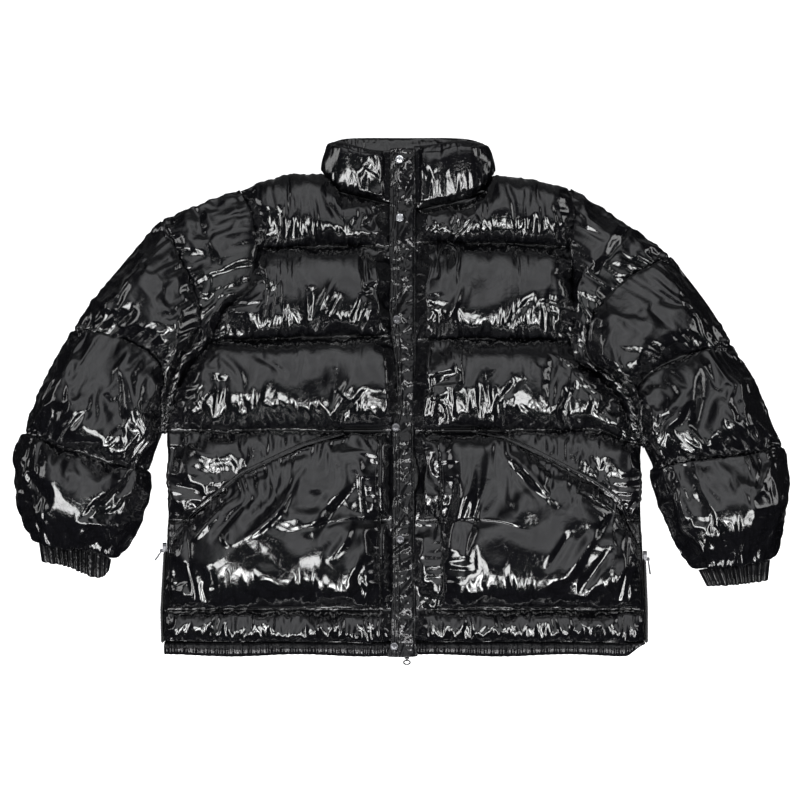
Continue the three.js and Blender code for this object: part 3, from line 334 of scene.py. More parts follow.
# How each padded shell is blown up: air pressure, spare cloth, and the most that a point may move
FRONT_PUFF = dict(pressure=2.2, spare=0.13, reach=9)
POCKET_PUFF = dict(pressure=1.8, spare=0.1, reach=8)
SLEEVE_PUFF = dict(pressure=2.4, spare=0.09, reach=9)
COLLAR_PUFF = dict(pressure=2.0, spare=0.05, reach=5)
CLOTH = dict(quality=4, mass=0.12, tension_stiffness=12, compression_stiffness=12, shear_stiffness=4,
             bending_stiffness=0.02, air_damping=2, use_pressure=True, vertex_group_mass="sewn",
             pin_stiffness=1)
PUFF_FRAMES = 14
PUFFS = []
CREASES = []

# Colours
FILM_BLACK = (0.004, 0.004, 0.005)
BAND_BLACK = (0.006, 0.006, 0.007)
TAPE_BLACK = (0.012, 0.012, 0.013)
THREAD_BLACK = (0.02, 0.02, 0.022)
SILVER = (0.62, 0.63, 0.66)
GUNMETAL = (0.16, 0.16, 0.17)

# The studio, in metres. Lights: name, place, size, radiance
LIGHTS = [
    ("key_soft_left", (-1.2, -1.15, 2.3), (1.05, 0.95), 9.5),
    ("key_soft_right", (0.98, -1.25, 2.3), (0.7, 0.85), 9.5),
    ("key_left", (-0.5, -2.1, 2.2), (0.5, 1.1), 9),
    ("key_left_core", (-0.44, -2.05, 1.95), (0.26, 0.6), 12),
    ("key_middle_left", (-0.12, -2.3, 1.7), (0.12, 0.6), 12),
    ("key_right", (0.52, -2.15, 2.15), (0.4, 1.0), 9),
    ("key_right_core", (0.5, -2.05, 1.9), (0.22, 0.6), 12),
    ("side_left", (-3.0, 0.6, 1.1), (1.4, 0.9), 2.5),
    ("side_right", (3.0, 0.6, 1.1), (1.4, 0.9), 2.5),
]
# Directions between which the ceiling fades, toward the hem, to the sides and low down
CEILING_FADE = (-0.19, 0.04)
PANEL_SIDES = (0.3, 0.75)
CEILING_LOW = (0.25, 0.8)
CEILING_DARK = 0.015
CEILING_GREY = 0.9
FLOOR_SIZE = 12.0
FLOOR_GAP = 0.0004
CAMERA_HEIGHT = 3.05
VIEW_WIDTH = 1.16
MID_HEIGHT = 0.035
SENSOR_WIDTH = 36

# Lines, patches and heights


def walked(line):
    """Distance from a line's start to each of its points."""
    return np.concatenate([[0], np.cumsum(np.linalg.norm(np.diff(line, axis=0), axis=1))])


def spaced(line, shares):
    """Points at shares of a polyline's length."""
    points = np.array(line, float)
    marks = walked(points)
    places = np.asarray(shares, float) * marks[-1]
    return np.stack([np.interp(places, marks, points[:, i]) for i in range(points.shape[1])], axis=-1)


def rounded(line, steps=24):
    """The smooth curve through a line's points, as a finer line."""

    def mix(start, end, p, q):
        return (end - t) / (end - start) * p + (t - start) / (end - start) * q

    points = np.array(line, float)
    before = 2 * points[:1] - points[1:2]
    after = 2 * points[-1:] - points[-2:-1]
    points = np.concatenate([before, points, after])
    gaps = np.linalg.norm(np.diff(points, axis=0), axis=1)
    knots = np.concatenate([[0], np.cumsum(gaps ** 0.5 + 1e-6)])
    fine = []
    for i in range(1, len(points) - 2):
        p0, p1, p2, p3 = points[i - 1:i + 3]
        t0, t1, t2, t3 = knots[i - 1:i + 3]
        t = np.linspace(t1, t2, steps, endpoint=False)[:, None]
        a1 = mix(t0, t1, p0, p1)
        a2 = mix(t1, t2, p1, p2)
        a3 = mix(t2, t3, p2, p3)
        fine.append(mix(t1, t2, mix(t0, t2, a1, a2), mix(t1, t3, a2, a3)))
    return np.concatenate([*fine, points[-2:-1]])


def smooth(low, high, value):
    """0 below low, 1 above high and a soft step between them."""
    t = np.clip((np.asarray(value, float) - low) / (high - low), 0, 1)
    return t * t * (3 - 2 * t)


def pillow(share):
    """Rounded bulge across a baffle, 0 at both seams and 1 in the middle."""
    return (1 - np.abs(2 * np.asarray(share) - 1) ** 2.6) ** 0.55


def patch(low, high, first, last, across, up):
    """Points between four edges: low and high run across, first and last run up."""
    u = np.asarray(across)[None, :, None]
    t = np.asarray(up)[:, None, None]
    rows = (1 - t) * spaced(low, across)[None] + t * spaced(high, across)[None]
    columns = (1 - u) * spaced(first, up)[:, None] + u * spaced(last, up)[:, None]
    p = np.array(low, float)
    q = np.array(high, float)
    corners = (1 - t) * ((1 - u) * p[0] + u * p[-1]) + t * ((1 - u) * q[0] + u * q[-1])
    return rows + columns - corners


def fold_height(x, y):
    """Height of the broad folds over places in plan."""
    height = np.zeros_like(x)
    for centre_x, centre_y, length, width, degrees, rise in FOLDS:
        angle = math.radians(degrees)
        dx = x - centre_x
        dy = y - centre_y
        lengthwise = (dx * math.cos(angle) + dy * math.sin(angle)) / (length / 2)
        across = (-dx * math.sin(angle) + dy * math.cos(angle)) / (width / 2)
        height += rise * np.exp(-(lengthwise ** 2) - across ** 2)
    return height


def ripples(x, y, wavelength, seed, waves=7):
    """Soft uneven waves between about -1 and 1."""
    rng = np.random.default_rng(seed)
    total = np.zeros_like(x)
    for _ in range(waves):
        angle = rng.uniform(0, math.pi)
        length = wavelength * rng.uniform(0.7, 1.5)
        phase = rng.uniform(0, 2 * math.pi)
        total += np.sin((x * math.cos(angle) + y * math.sin(angle)) * 2 * math.pi / length + phase)
    return total / math.sqrt(waves)


def puckers(along_seam, from_seam, seed, reach=PUCKER_REACH, pitch=PUCKER_PITCH):
    """Short creases that stand across a gathered seam and die out away from it."""
    rng = np.random.default_rng(seed)
    from_seam = np.maximum(0, from_seam)
    total = np.zeros_like(along_seam)
    for scale, share in ((1.0, 0.6), (1.7, 0.5), (0.62, 0.3)):
        lean = rng.uniform(-0.35, 0.35)
        wander = 1.4 * np.sin(along_seam / (pitch * 5.3) + rng.uniform(0, 6)) + lean * from_seam / pitch
        crest = np.abs(np.sin(math.pi * along_seam / (pitch * scale) + wander))
        length = reach * (1 + 0.55 * np.sin(along_seam / (pitch * 1.9) + rng.uniform(0, 6)))
        total += share * (crest - 0.64) * np.exp(-(from_seam / np.maximum(5, length)) ** 1.3)
    return total


def crease_field(run, away, seed, pitch, longest, depth, width):
    """Uneven leaning troughs that start at a seam, where run is along it and away is the distance."""
    rng = np.random.default_rng(seed)
    total = np.zeros_like(run)
    place = run.min() + pitch * rng.uniform(0.2, 1)
    while place < run.max():
        length = longest * rng.choice([0.3, 0.48, 0.72, 1.0], p=[0.36, 0.3, 0.2, 0.14])
        lean = rng.normal(0, 0.3)
        bend = rng.normal(0, 0.006)
        half = width * rng.uniform(0.7, 1.5)
        near = np.nonzero((away < length) & (np.abs(run - place) < 0.9 * length + 4 * half))[0]
        a = np.maximum(0, away[near])
        offset = (run[near] - place - lean * a - bend * a * a) / half
        trough = 0.45 * np.exp(-((np.abs(offset) - 1.9) ** 2)) - np.exp(-(offset ** 2))
        fade = np.minimum(1, 0.1 + a / 3) * (1 - a / length) ** 0.8
        total[near] += depth * rng.uniform(0.4, 1) * fade * trough
        place += pitch * rng.uniform(0.5, 1.6)
    return total


def scattered(x, y, seed, count, degrees, spread, length, depth, width):
    """Short straight creases strewn over a piece, most of them along one direction."""
    rng = np.random.default_rng(seed)
    total = np.zeros_like(x)
    flat_x, flat_y, flat = x.ravel(), y.ravel(), total.ravel()
    low_x, high_x, low_y, high_y = flat_x.min(), flat_x.max(), flat_y.min(), flat_y.max()
    for _ in range(count):
        centre_x = rng.uniform(low_x, high_x)
        centre_y = rng.uniform(low_y, high_y)
        turn = math.radians(degrees + rng.normal(0, spread))
        half = 0.5 * length * rng.uniform(0.5, 1.3)
        thick = width * rng.uniform(0.7, 1.4)
        size = depth * rng.uniform(0.35, 1) * rng.choice([-1, -1, 1])
        reach = np.maximum(np.abs(flat_x - centre_x), np.abs(flat_y - centre_y)) < half + 3 * thick
        near = np.nonzero(reach)[0]
        dx = flat_x[near] - centre_x
        dy = flat_y[near] - centre_y
        along = (dx * math.cos(turn) + dy * math.sin(turn)) / half
        across = (dy * math.cos(turn) - dx * math.sin(turn)) / thick
        flat[near] += size * np.exp(-(across ** 2)) * np.maximum(0, 1 - along ** 2)
    return flat.reshape(x.shape)


def ridges(run, pitch, seed):
    """Uneven rounded ridges with sharp valleys, as elastic gathers cloth, from 0 to 1."""
    rng = np.random.default_rng(seed)
    length = run.max() - run.min()
    pitches = pitch * rng.uniform(0.55, 1.6, int(length / pitch) + 8)
    edges = run.min() + np.concatenate([[0], np.cumsum(pitches)])
    place = np.interp(run, edges, np.arange(len(edges)))
    high = rng.uniform(0.55, 1, len(edges) + 1)[np.floor(place).astype(int)]
    return high * np.abs(np.sin(math.pi * place)) ** 0.7


def sharp_folds(name, x, y):
    """Height of a piece's listed folds over each place in plan."""
    total = np.zeros_like(x)
    shares = np.linspace(0, 1, FOLD_POINTS)
    for width, height, points in SHARP_FOLDS.get(name, []):
        line = spaced(rounded(points), shares)
        low = line.min(axis=0) - FOLD_REACH
        high = line.max(axis=0) + FOLD_REACH
        near = np.nonzero((x > low[0]) & (x < high[0]) & (y > low[1]) & (y < high[1]))[0]
        gap = np.hypot(x[near, None] - line[None, :, 0], y[near, None] - line[None, :, 1])
        nearest = gap.argmin(axis=1)
        taper = np.sin(math.pi * shares[nearest]) ** 0.9
        total[near] += height * taper * np.exp(-((gap.min(axis=1) / width) ** 2))
    return total


def side_rise(distance):
    """How far a front has risen at a distance from its side, from 0 to 1."""
    near = np.clip(distance / SIDE_ROUND, 0, 1)
    return np.sqrt(1 - (1 - near) ** 2)


def shelf_height(y):
    """Height of the shelf that the placket lies on."""
    return SEAM_PLANE + SHELF + np.maximum(0, np.asarray(y, float) - COLLAR_START) * COLLAR_SLOPE


# Meshes


def link_object(name, data):
    """A new object in the scene."""
    made = bpy.data.objects.new(name, data)
    bpy.context.scene.collection.objects.link(made)
    return made


def make_piece(name, points, faces, material, slot="shell_nylon", shade_smooth=True):
    """A mesh of points in millimetres that rides on the jacket."""
    mesh = bpy.data.meshes.new(name)
    mesh.from_pydata((np.asarray(points, float) * MM).tolist(), [], faces)
    mesh.update()
    mesh.polygons.foreach_set("use_smooth", [shade_smooth] * len(mesh.polygons))
    mesh.materials.append(material)
    piece = link_object(name, mesh)
    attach(piece, "jacket")
    return piece


def make_padded(name, node, points, faces, material, slot="shell_nylon"):
    """A piece of padded or gathered cloth that stands for a CAD node."""
    piece = make_piece(name, points, faces, material, slot)
    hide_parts(node)
    return piece


def flipped(faces):
    """The same faces, turned to look the other way."""
    return [list(reversed(face)) for face in faces]


def slab(grid, bottom, upward=True):
    """Closed shell of a grid of outer points over a plain inside at the given rim heights."""
    rows, columns = grid.shape[:2]
    index = np.arange(rows * columns).reshape(rows, columns)
    a = index[:-1, :-1].ravel()
    b = index[:-1, 1:].ravel()
    c = index[1:, 1:].ravel()
    d = index[1:, :-1].ravel()
    faces = np.stack([a, b, c, d], axis=1).tolist()
    first = grid[:, 0].copy()
    last = grid[:, -1].copy()
    first[:, 2] = bottom[:, 0]
    last[:, 2] = bottom[:, 1]
    start = rows * columns
    left = start + np.arange(rows)
    right = start + rows + np.arange(rows)
    for r in range(rows - 1):
        faces.append([left[r], index[r, 0], index[r + 1, 0], left[r + 1]])
        faces.append([index[r, -1], right[r], right[r + 1], index[r + 1, -1]])
        faces.append([right[r], left[r], left[r + 1], right[r + 1]])
    faces.append([left[0], right[0], *index[0, ::-1].tolist()])
    faces.append([right[-1], left[-1], *index[-1].tolist()])
    if not upward:
        faces = flipped(faces)
    return np.concatenate([grid.reshape(-1, 3), first, last]), [[int(i) for i in face] for face in faces]


def tube(rings):
    """Closed shell through rings with the same number of points."""
    count, around = rings.shape[:2]
    faces = []
    for r in range(count - 1):
        for i in range(around):
            j = (i + 1) % around
            faces.append([r * around + i, r * around + j, (r + 1) * around + j, (r + 1) * around + i])
    faces.append(list(range(around))[::-1])
    faces.append(list(range((count - 1) * around, count * around)))
    return rings.reshape(-1, 3), faces


# Puffing up the padded pieces


def will_puff(piece, sewn, puff):
    """Notes a padded shell that the cloth simulation blows up between its sewn points."""
    group = piece.vertex_groups.new(name="sewn")
    for weight in (0.25, 0.5, 0.75, 1.0):
        chosen = np.nonzero((sewn > weight - 0.25 + 1e-6) & (sewn <= weight + 1e-6))[0]
        if len(chosen):
            group.add(chosen.tolist(), weight, "REPLACE")
    PUFFS.append(dict(piece=piece, **puff))


def add_cloth(puff):
    """Gives a shell the cloth simulation that will blow it up."""
    cloth = puff["piece"].modifiers.new("Puffing", "CLOTH")
    settings = cloth.settings
    for key, value in CLOTH.items():
        setattr(settings, key, value)
    settings.uniform_pressure_force = puff["pressure"]
    settings.shrink_min = -puff["spare"]
    settings.shrink_max = -puff["spare"]
    settings.effector_weights.gravity = 0
    cloth.collision_settings.use_collision = False
    cloth.point_cache.frame_start = 1
    cloth.point_cache.frame_end = PUFF_FRAMES
    return cloth


def read_points(mesh):
    points = np.empty(len(mesh.vertices) * 3)
    mesh.vertices.foreach_get("co", points)
    return points.reshape(-1, 3)


def puff_all():
    """Runs all the cloth at once, keeps each point within its reach and takes the cloth off again."""
    scene = bpy.context.scene
    for puff in PUFFS:
        puff["cloth"] = add_cloth(puff)
    for step in range(1, PUFF_FRAMES + 1):
        scene.frame_set(step)
    graph = bpy.context.evaluated_depsgraph_get()
    for puff in PUFFS:
        piece = puff["piece"]
        before = read_points(piece.data)
        after = read_points(piece.evaluated_get(graph).data)
        move = after - before
        length = np.linalg.norm(move, axis=1, keepdims=True)
        limit = puff["reach"] * MM
        move *= limit * np.tanh(length / limit) / np.maximum(length, 1e-9)
        points = before + move
        points[:, 2] = np.maximum(points[:, 2], 0)
        puff["result"] = points
    for puff in PUFFS:
        piece = puff["piece"]
        piece.modifiers.remove(puff["cloth"])
        piece.data.vertices.foreach_set("co", puff["result"].ravel())
        piece.data.update()
    scene.frame_set(1)


def will_crease(piece, fields, strength):
    """Notes where a shell's seams run, so that creases can be laid into the finer mesh later on.

    Each field gives the place along a seam, the distance from it, a seed and the kind of creases.
    """
    for index, (run, away, _, _) in enumerate(fields):
        store_values(piece.data, f"run{index}", run, 0)
        store_values(piece.data, f"away{index}", away, FAR_AWAY)
    store_values(piece.data, "strength", strength, 0)
    CREASES.append((piece, fields))


def store_values(mesh, name, values, rest):
    """Stores a value at each point; the points after the given ones get the rest value."""
    values = np.ravel(values)
    attribute = mesh.attributes.new(name, "FLOAT", "POINT")
    full = np.concatenate([values, np.full(len(mesh.vertices) - len(values), float(rest))])
    attribute.data.foreach_set("value", full)


def read_attribute(mesh, name):
    values = np.empty(len(mesh.vertices))
    mesh.attributes[name].data.foreach_get("value", values)
    return values


def crease_all():
    """Refines each noted shell once and lays its creases and sharp folds into the fine mesh."""
    for piece, fields in CREASES:
        refine(piece)
        graph = bpy.context.evaluated_depsgraph_get()
        fine = bpy.data.meshes.new_from_object(piece.evaluated_get(graph), depsgraph=graph)
        piece.modifiers.clear()
        points = read_points(fine)
        normals = np.empty(len(points) * 3)
        fine.vertices.foreach_get("normal", normals)
        normals = normals.reshape(-1, 3)
        height = sharp_folds(piece.name, points[:, 0] / MM, points[:, 1] / MM) * (normals[:, 2] > 0.1)
        for index, (_, _, seed, kind) in enumerate(fields):
            run = read_attribute(fine, f"run{index}")
            away = read_attribute(fine, f"away{index}")
            height += crease_field(run, away, seed, **kind)
        points += normals * (height * read_attribute(fine, "strength") * MM)[:, None]
        points[:, 2] = np.maximum(points[:, 2], 0)
        fine.vertices.foreach_set("co", points.ravel())
        fine.update()
        piece.data = fine


def refine(piece):
    """Rounds a piece with one level of subdivision."""
    modifier = piece.modifiers.new("Finer cloth", "SUBSURF")
    modifier.levels = 1
    modifier.render_levels = 1


# Body panels


def front_grid(side):
    """Outer points of one front, how firmly each is sewn, and where each lies from its seams."""
    parts = {key: [] for key in ("xyz", "firm", "run", "low", "high", "side", "shelf", "strength")}
    across = np.linspace(0, 1, FRONT_COLUMNS)
    baffles = FRONTS[side]
    for k, baffle in enumerate(baffles[:-1]):
        low = baffle["seam"]
        high = baffles[k + 1]["seam"]
        last = [low[-1], *baffle["edge"], high[-1]]
        height = max(abs(high[0][1] - low[0][1]), abs(high[-1][1] - low[-1][1]))
        up = np.linspace(0, 1, max(8, round(height / CLOTH_STEP)) + 1)
        xy = patch(low, high, [low[0], high[0]], last, across, up)
        x, y = xy[..., 0], xy[..., 1]
        edge = spaced(last, up)[:, None]
        from_side = np.hypot(x - edge[..., 0], y - edge[..., 1])
        free_edge, sewn_edge = placket_edges(y)
        from_shelf = np.maximum(free_edge + 4 - x, x - sewn_edge + 4)
        from_placket = smooth(0, FRONT_RISE, from_shelf)
        fill = pillow(up)[:, None] * from_placket * side_rise(from_side)
        ground = SHELF + (SEAM_PADDING - SHELF) * from_placket
        length = np.abs(x - low[0][0])
        below = np.broadcast_to((up * height)[:, None], x.shape)
        crease = puckers(length, below, 10 * k + 1) + puckers(length, height - below, 10 * k + 2)
        crease += 0.8 * puckers(y, from_side, 10 * k + 3) + 0.7 * puckers(y, from_shelf, 10 * k + 4)
        z = SEAM_PLANE + ground + fill * (baffle["padding"] * 0.94 + fold_height(x, y))
        z = z + PUCKER_DEPTH * crease * np.minimum(1, fill * 2.2) + 0.8 * ripples(x, y, 46, k) * fill
        firm = np.zeros_like(x)
        firm[from_shelf <= 1] = 1
        firm[:, -1] = 1
        firm[0] = firm[-1] = 1
        firm = np.maximum(firm, under_pocket(side, x, y))
        strength = smooth(3, 8, from_shelf) * (1 - under_pocket(side, x, y))
        made = dict(xyz=np.stack([x, y, z], axis=-1), firm=firm, run=x + APART * k, low=below,
                    high=height - below, side=from_side, shelf=np.maximum(0, from_shelf),
                    strength=strength)
        for key, rows in parts.items():
            rows.append(made[key][0 if k == 0 else 1:])
    return {key: np.concatenate(rows) for key, rows in parts.items()}


def under_pocket(side, x, y):
    """1 under the pocket and its welt, where the front lies still, and 0 away from them."""
    pocket = POCKETS[side]
    opening = np.array(pocket["opening"], float)
    order = np.argsort(opening[:, 0])
    limit = np.interp(x, opening[order, 0], opening[order, 1]) + 14
    inner, outer = sorted((pocket["bottom"][0][0], pocket["bottom"][1][0]))
    inside = (y < limit) & (y > pocket["bottom"][0][1] - 3) & (x > inner - 3) & (x < outer + 6)
    return inside.astype(float)


def height_over(grid, x, y):
    """Height of a front's outer points nearest to each place, evened out over the four closest."""
    flat = grid.reshape(-1, 3)
    out = np.empty(x.size)
    places = np.stack([x.ravel(), y.ravel()], axis=1)
    for start in range(0, len(places), LOOKUPS_AT_ONCE):
        part = places[start:start + LOOKUPS_AT_ONCE]
        gap = (part[:, None, 0] - flat[None, :, 0]) ** 2 + (part[:, None, 1] - flat[None, :, 1]) ** 2
        near = np.argpartition(gap, 4, axis=1)[:, :4]
        weight = 1 / (np.take_along_axis(gap, near, axis=1) + 1e-3)
        out[start:start + LOOKUPS_AT_ONCE] = (flat[near, 2] * weight).sum(axis=1) / weight.sum(axis=1)
    return out.reshape(x.shape)


def make_front(side, material):
    """Padded shell of one front, from the hem seam to the shoulder."""
    front = front_grid(side)
    grid = front["xyz"]
    rim = np.full((len(grid), 2), SEAM_PLANE + SEAM_GAP)
    points, faces = slab(grid, rim, upward=side == "left")
    piece = make_padded(f"shell_front_{side}", f"front_{side}", points, faces, material)
    firm = np.concatenate([front["firm"].ravel(), np.ones(2 * len(grid))])
    will_puff(piece, firm, FRONT_PUFF)
    y = grid[..., 1]
    fields = [
        (front["run"], front["low"], 101, GATHERED),
        (front["run"], front["high"], 102, GATHERED_ABOVE),
        (y, front["side"], 103, CRUMPLED),
        (y, front["shelf"], 104, CRUMPLED),
    ]
    will_crease(piece, fields, front["strength"])
    return grid


def make_back(material):
    """Padded back, flat where it rests. It is hidden, so it is neither puffed nor creased."""
    rows = []
    across = np.linspace(0, 1, BACK_COLUMNS)
    right, left = FRONTS["right"], FRONTS["left"]
    ends = [(row["seam"][-1], other["seam"][-1]) for row, other in zip(right, left)]
    seams = [[first, *middle, last] for (first, last), middle in zip(ends, BACK_MIDDLES)]
    for k in range(len(seams) - 1):
        first = [seams[k][0], *right[k]["edge"], seams[k + 1][0]]
        last = [seams[k][-1], *left[k]["edge"], seams[k + 1][-1]]
        height = abs(seams[k + 1][0][1] - seams[k][0][1])
        up = np.linspace(0, 1, max(7, round(height / (CLOTH_STEP * 1.3))) + 1)
        xy = patch(seams[k], seams[k + 1], first, last, across, up)
        x, y = xy[..., 0], xy[..., 1]
        side = np.minimum(x - spaced(first, up)[:, None, 0], spaced(last, up)[:, None, 0] - x)
        below = np.broadcast_to((up * height)[:, None], x.shape)
        crease = puckers(x, below, 70 + k) + puckers(x, height - below, 80 + k)
        fill = pillow(up)[:, None] * side_rise(np.maximum(0, side))
        depth = SEAM_PADDING + BACK_SAG * fill + PUCKER_DEPTH * crease * np.minimum(1, 2 * fill)
        z = np.maximum(0, SEAM_PLANE - depth)
        rows.append(np.stack([x, y, z], axis=-1)[0 if k == 0 else 1:])
    grid = np.concatenate(rows)
    points, faces = slab(grid, np.full((len(grid), 2), SEAM_PLANE), upward=False)
    make_padded("shell_back", "back_panel", points, faces, material)


# Pockets and welts


def patch_heights(ground, across, up):
    """Heights drawn straight between the four rims of a patch."""
    u = across[None]
    t = up[:, None]
    rows = ground[:1] + (ground[-1:] - ground[:1]) * t
    columns = ground[:, :1] + (ground[:, -1:] - ground[:, :1]) * u
    low = ground[0, 0] + (ground[0, -1] - ground[0, 0]) * u
    high = ground[-1, 0] + (ground[-1, -1] - ground[-1, 0]) * u
    return rows + columns - (low + (high - low) * t)


def make_pocket(side, grid, material):
    """Padded patch pocket that lies over the points of its front."""
    pocket = POCKETS[side]
    opening = pocket["opening"]
    across = np.linspace(0, 1, POCKET_COLUMNS)
    up = np.linspace(0, 1, POCKET_ROWS)
    first = [pocket["bottom"][0], opening[0]]
    last = [pocket["bottom"][1], opening[-1]]
    xy = patch(pocket["bottom"], opening, first, last, across, up)
    x, y = xy[..., 0], xy[..., 1]
    ground = height_over(grid, x, y)
    rim_ground = patch_heights(ground, across, up)
    width = abs(pocket["bottom"][1][0] - pocket["bottom"][0][0])
    length = np.broadcast_to((across * width)[None], x.shape)
    tall = np.abs(y[-1] - y[0])[None]
    rise = up[:, None] * tall
    fill = pillow(up)[:, None] * pillow(across)[None]
    crease = puckers(length, rise, 31, 20) + puckers(length, tall - rise, 32, 26)
    crease += 0.6 * puckers(rise, length, 33) + 0.6 * puckers(rise, width - length, 34)
    level = rim_ground + (rim_ground.mean() - rim_ground) * fill
    dome = level + POCKET_EDGE + fill * (POCKET_DOME + fold_height(x, y))
    z = np.maximum(dome, ground + POCKET_EDGE + 3 * fill)
    z = z + PUCKER_DEPTH * crease * np.minimum(1, 2.4 * fill) + 1.2 * ripples(x, y, 70, 5) * fill
    top = np.stack([x, y, z], axis=-1)
    rim = ground[:, [0, -1]] + SEAM_GAP
    points, faces = slab(top, rim, upward=side == "left")
    piece = make_padded(f"pocket_patch_{side}", f"pocket_{side}", points, faces, material)
    firm = np.zeros_like(x)
    firm[0] = firm[-1] = 1
    firm[:, 0] = firm[:, -1] = 1
    firm = np.concatenate([firm.ravel(), np.ones(2 * len(up))])
    will_puff(piece, firm, POCKET_PUFF)
    fields = [
        (length, rise, 131, GATHERED_ABOVE),
        (length, tall - rise, 132, GATHERED),
        (rise, length, 133, CRUMPLED),
        (rise, width - length, 134, GATHERED_ABOVE),
    ]
    will_crease(piece, fields, np.ones_like(x))
    make_welt(side, grid, material)
    return top


def opening_line(side, shares):
    """Places along a pocket's slanted opening, and the way out of the pocket at each."""
    opening = POCKETS[side]["opening"]
    ahead = spaced(opening, np.minimum(1, shares + 0.012)) - spaced(opening, shares - 0.012)
    tangent = ahead / np.linalg.norm(ahead, axis=1, keepdims=True)
    return spaced(opening, shares), OUTWARD[side] * np.stack([-tangent[:, 1], tangent[:, 0]], axis=1)


def make_welt(side, grid, material):
    """Stitched band that is folded over along the slanted opening."""
    shares = np.linspace(0.14, 0.985, WELT_POINTS)
    here, normal = opening_line(side, shares)
    rows = []
    for offset, rise in WELT_PROFILE:
        xy = here + normal * offset
        ground = height_over(grid, xy[:, 0], xy[:, 1])
        ruck = 0.35 * np.sin(shares * 250 + offset) + 0.3 * np.sin(shares * 97)
        rows.append(np.column_stack([xy, ground + rise + ruck]))
    strip = np.stack(rows, axis=1)
    low = strip[:, [0, -1], 2] - WELT_DEPTH
    points, faces = slab(strip, low, upward=side == "right")
    piece = make_piece(f"welt_{side}", points, faces, material)
    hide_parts(f"pocket_welt_{side}")
    refine(piece)


# Sleeves and cuffs


def sleeve_shares():
    """Shares across a sleeve of the points round a ring: over the top and back underneath."""
    top = (1 - np.cos(np.linspace(0, math.pi, SLEEVE_TOP_POINTS))) / 2
    under = (1 - np.cos(np.linspace(math.pi, 0, SLEEVE_UNDER_POINTS + 2)[1:-1])) / 2
    return np.concatenate([top, under])


def ring_plan(row, a, b, t, share):
    """A ring in plan between the lines a and b, with its baffle's bulges at both edges."""
    last = SLEEVE_TOP_POINTS - 1
    outward = (a[0] - a[last]) * (1 - t) + (b[0] - b[last]) * t
    outward = outward / np.linalg.norm(outward)
    bulge = float(pillow(t)) * (row["outer"] * (1 - share) ** 3 - row["inner"] * share ** 3)
    return a + (b - a) * t + outward * bulge[:, None]


def ring_heights(row, following, k, xy, run, gap, t, share):
    """Heights of a ring: a padded top over an underside that lies flat between its seams."""
    puff = float(pillow(t))
    top, floor, lumen = (row[key] * (1 - t) + following[key] * t for key in ("top", "floor", "lumen"))
    square = row["square"] + (following["square"] - row["square"]) * min(1, 1.6 * t)
    profile = (1 - np.abs(2 * share - 1) ** square) ** 0.5
    crease = puckers(run, gap * t, 40 + k) + puckers(run, gap * (1 - t), 50 + k)
    crease = crease * np.minimum(1, gap / 30) * np.minimum(1, 2 * puff)
    fold = puff * fold_height(xy[:, 0], xy[:, 1]) + puff * ripples(xy[:, 0], xy[:, 1], 60, 9 + k)
    padding = top - lumen + puff * row["padding"] * 0.95 * np.minimum(1, gap / 42) + fold
    high = lumen + padding * profile + PUCKER_DEPTH * crease * np.minimum(1, 2 * profile)
    drop = (lumen - floor * (1 - puff)) * np.minimum(1, 1.18 * profile)
    return np.where(np.arange(len(share)) < SLEEVE_TOP_POINTS, high, np.maximum(0, lumen - drop))


def sleeve_rings(table):
    """Rings of a sleeve, how firmly each point is sewn, and where each lies from its seams."""
    share = sleeve_shares()
    curves = [rounded(row["line"]) for row in table]
    rings = []
    sewn = []
    places = []
    for k, (row, following) in enumerate(zip(table, table[1:])):
        steps = max(10, round(np.linalg.norm(curves[k + 1][0] - curves[k][0]) / CLOTH_STEP))
        a = spaced(curves[k], share)
        b = spaced(curves[k + 1], share)
        gap = np.linalg.norm(b - a, axis=1)
        run = walked(b)
        for i in range(0 if k == 0 else 1, steps + 1):
            t = i / steps
            xy = ring_plan(row, a, b, t, share)
            if k == 0 and i == 0:
                heading = (a - b) / np.maximum(1, np.linalg.norm(a - b, axis=1, keepdims=True))
                xy = xy + heading * ARMHOLE_OVERLAP
            z = ring_heights(row, following, k, xy, run, gap, t, share)
            rings.append(np.column_stack([xy, z]))
            firm = np.full(len(share), float(i in (0, steps)))
            firm[SLEEVE_TOP_POINTS:] = 1
            sewn.append(firm)
            places.append(np.stack([run + APART * k, gap * t, gap * (1 - t)], axis=-1))
    return np.stack(rings), np.stack(sewn), np.stack(places)


def make_sleeve(side, material):
    """Padded sleeve from the armhole to the cuff seam."""
    rings, sewn, places = sleeve_rings(SLEEVES[side])
    points, faces = tube(rings)
    if side == "left":
        faces = flipped(faces)
    piece = make_padded(f"shell_sleeve_{side}", f"sleeve_{side}", points, faces, material)
    will_puff(piece, sewn.ravel(), SLEEVE_PUFF)
    fields = [
        (places[..., 0], places[..., 1], 141, GATHERED_ABOVE),
        (places[..., 0], places[..., 2], 142, GATHERED),
    ]
    will_crease(piece, fields, np.ones(len(points)))


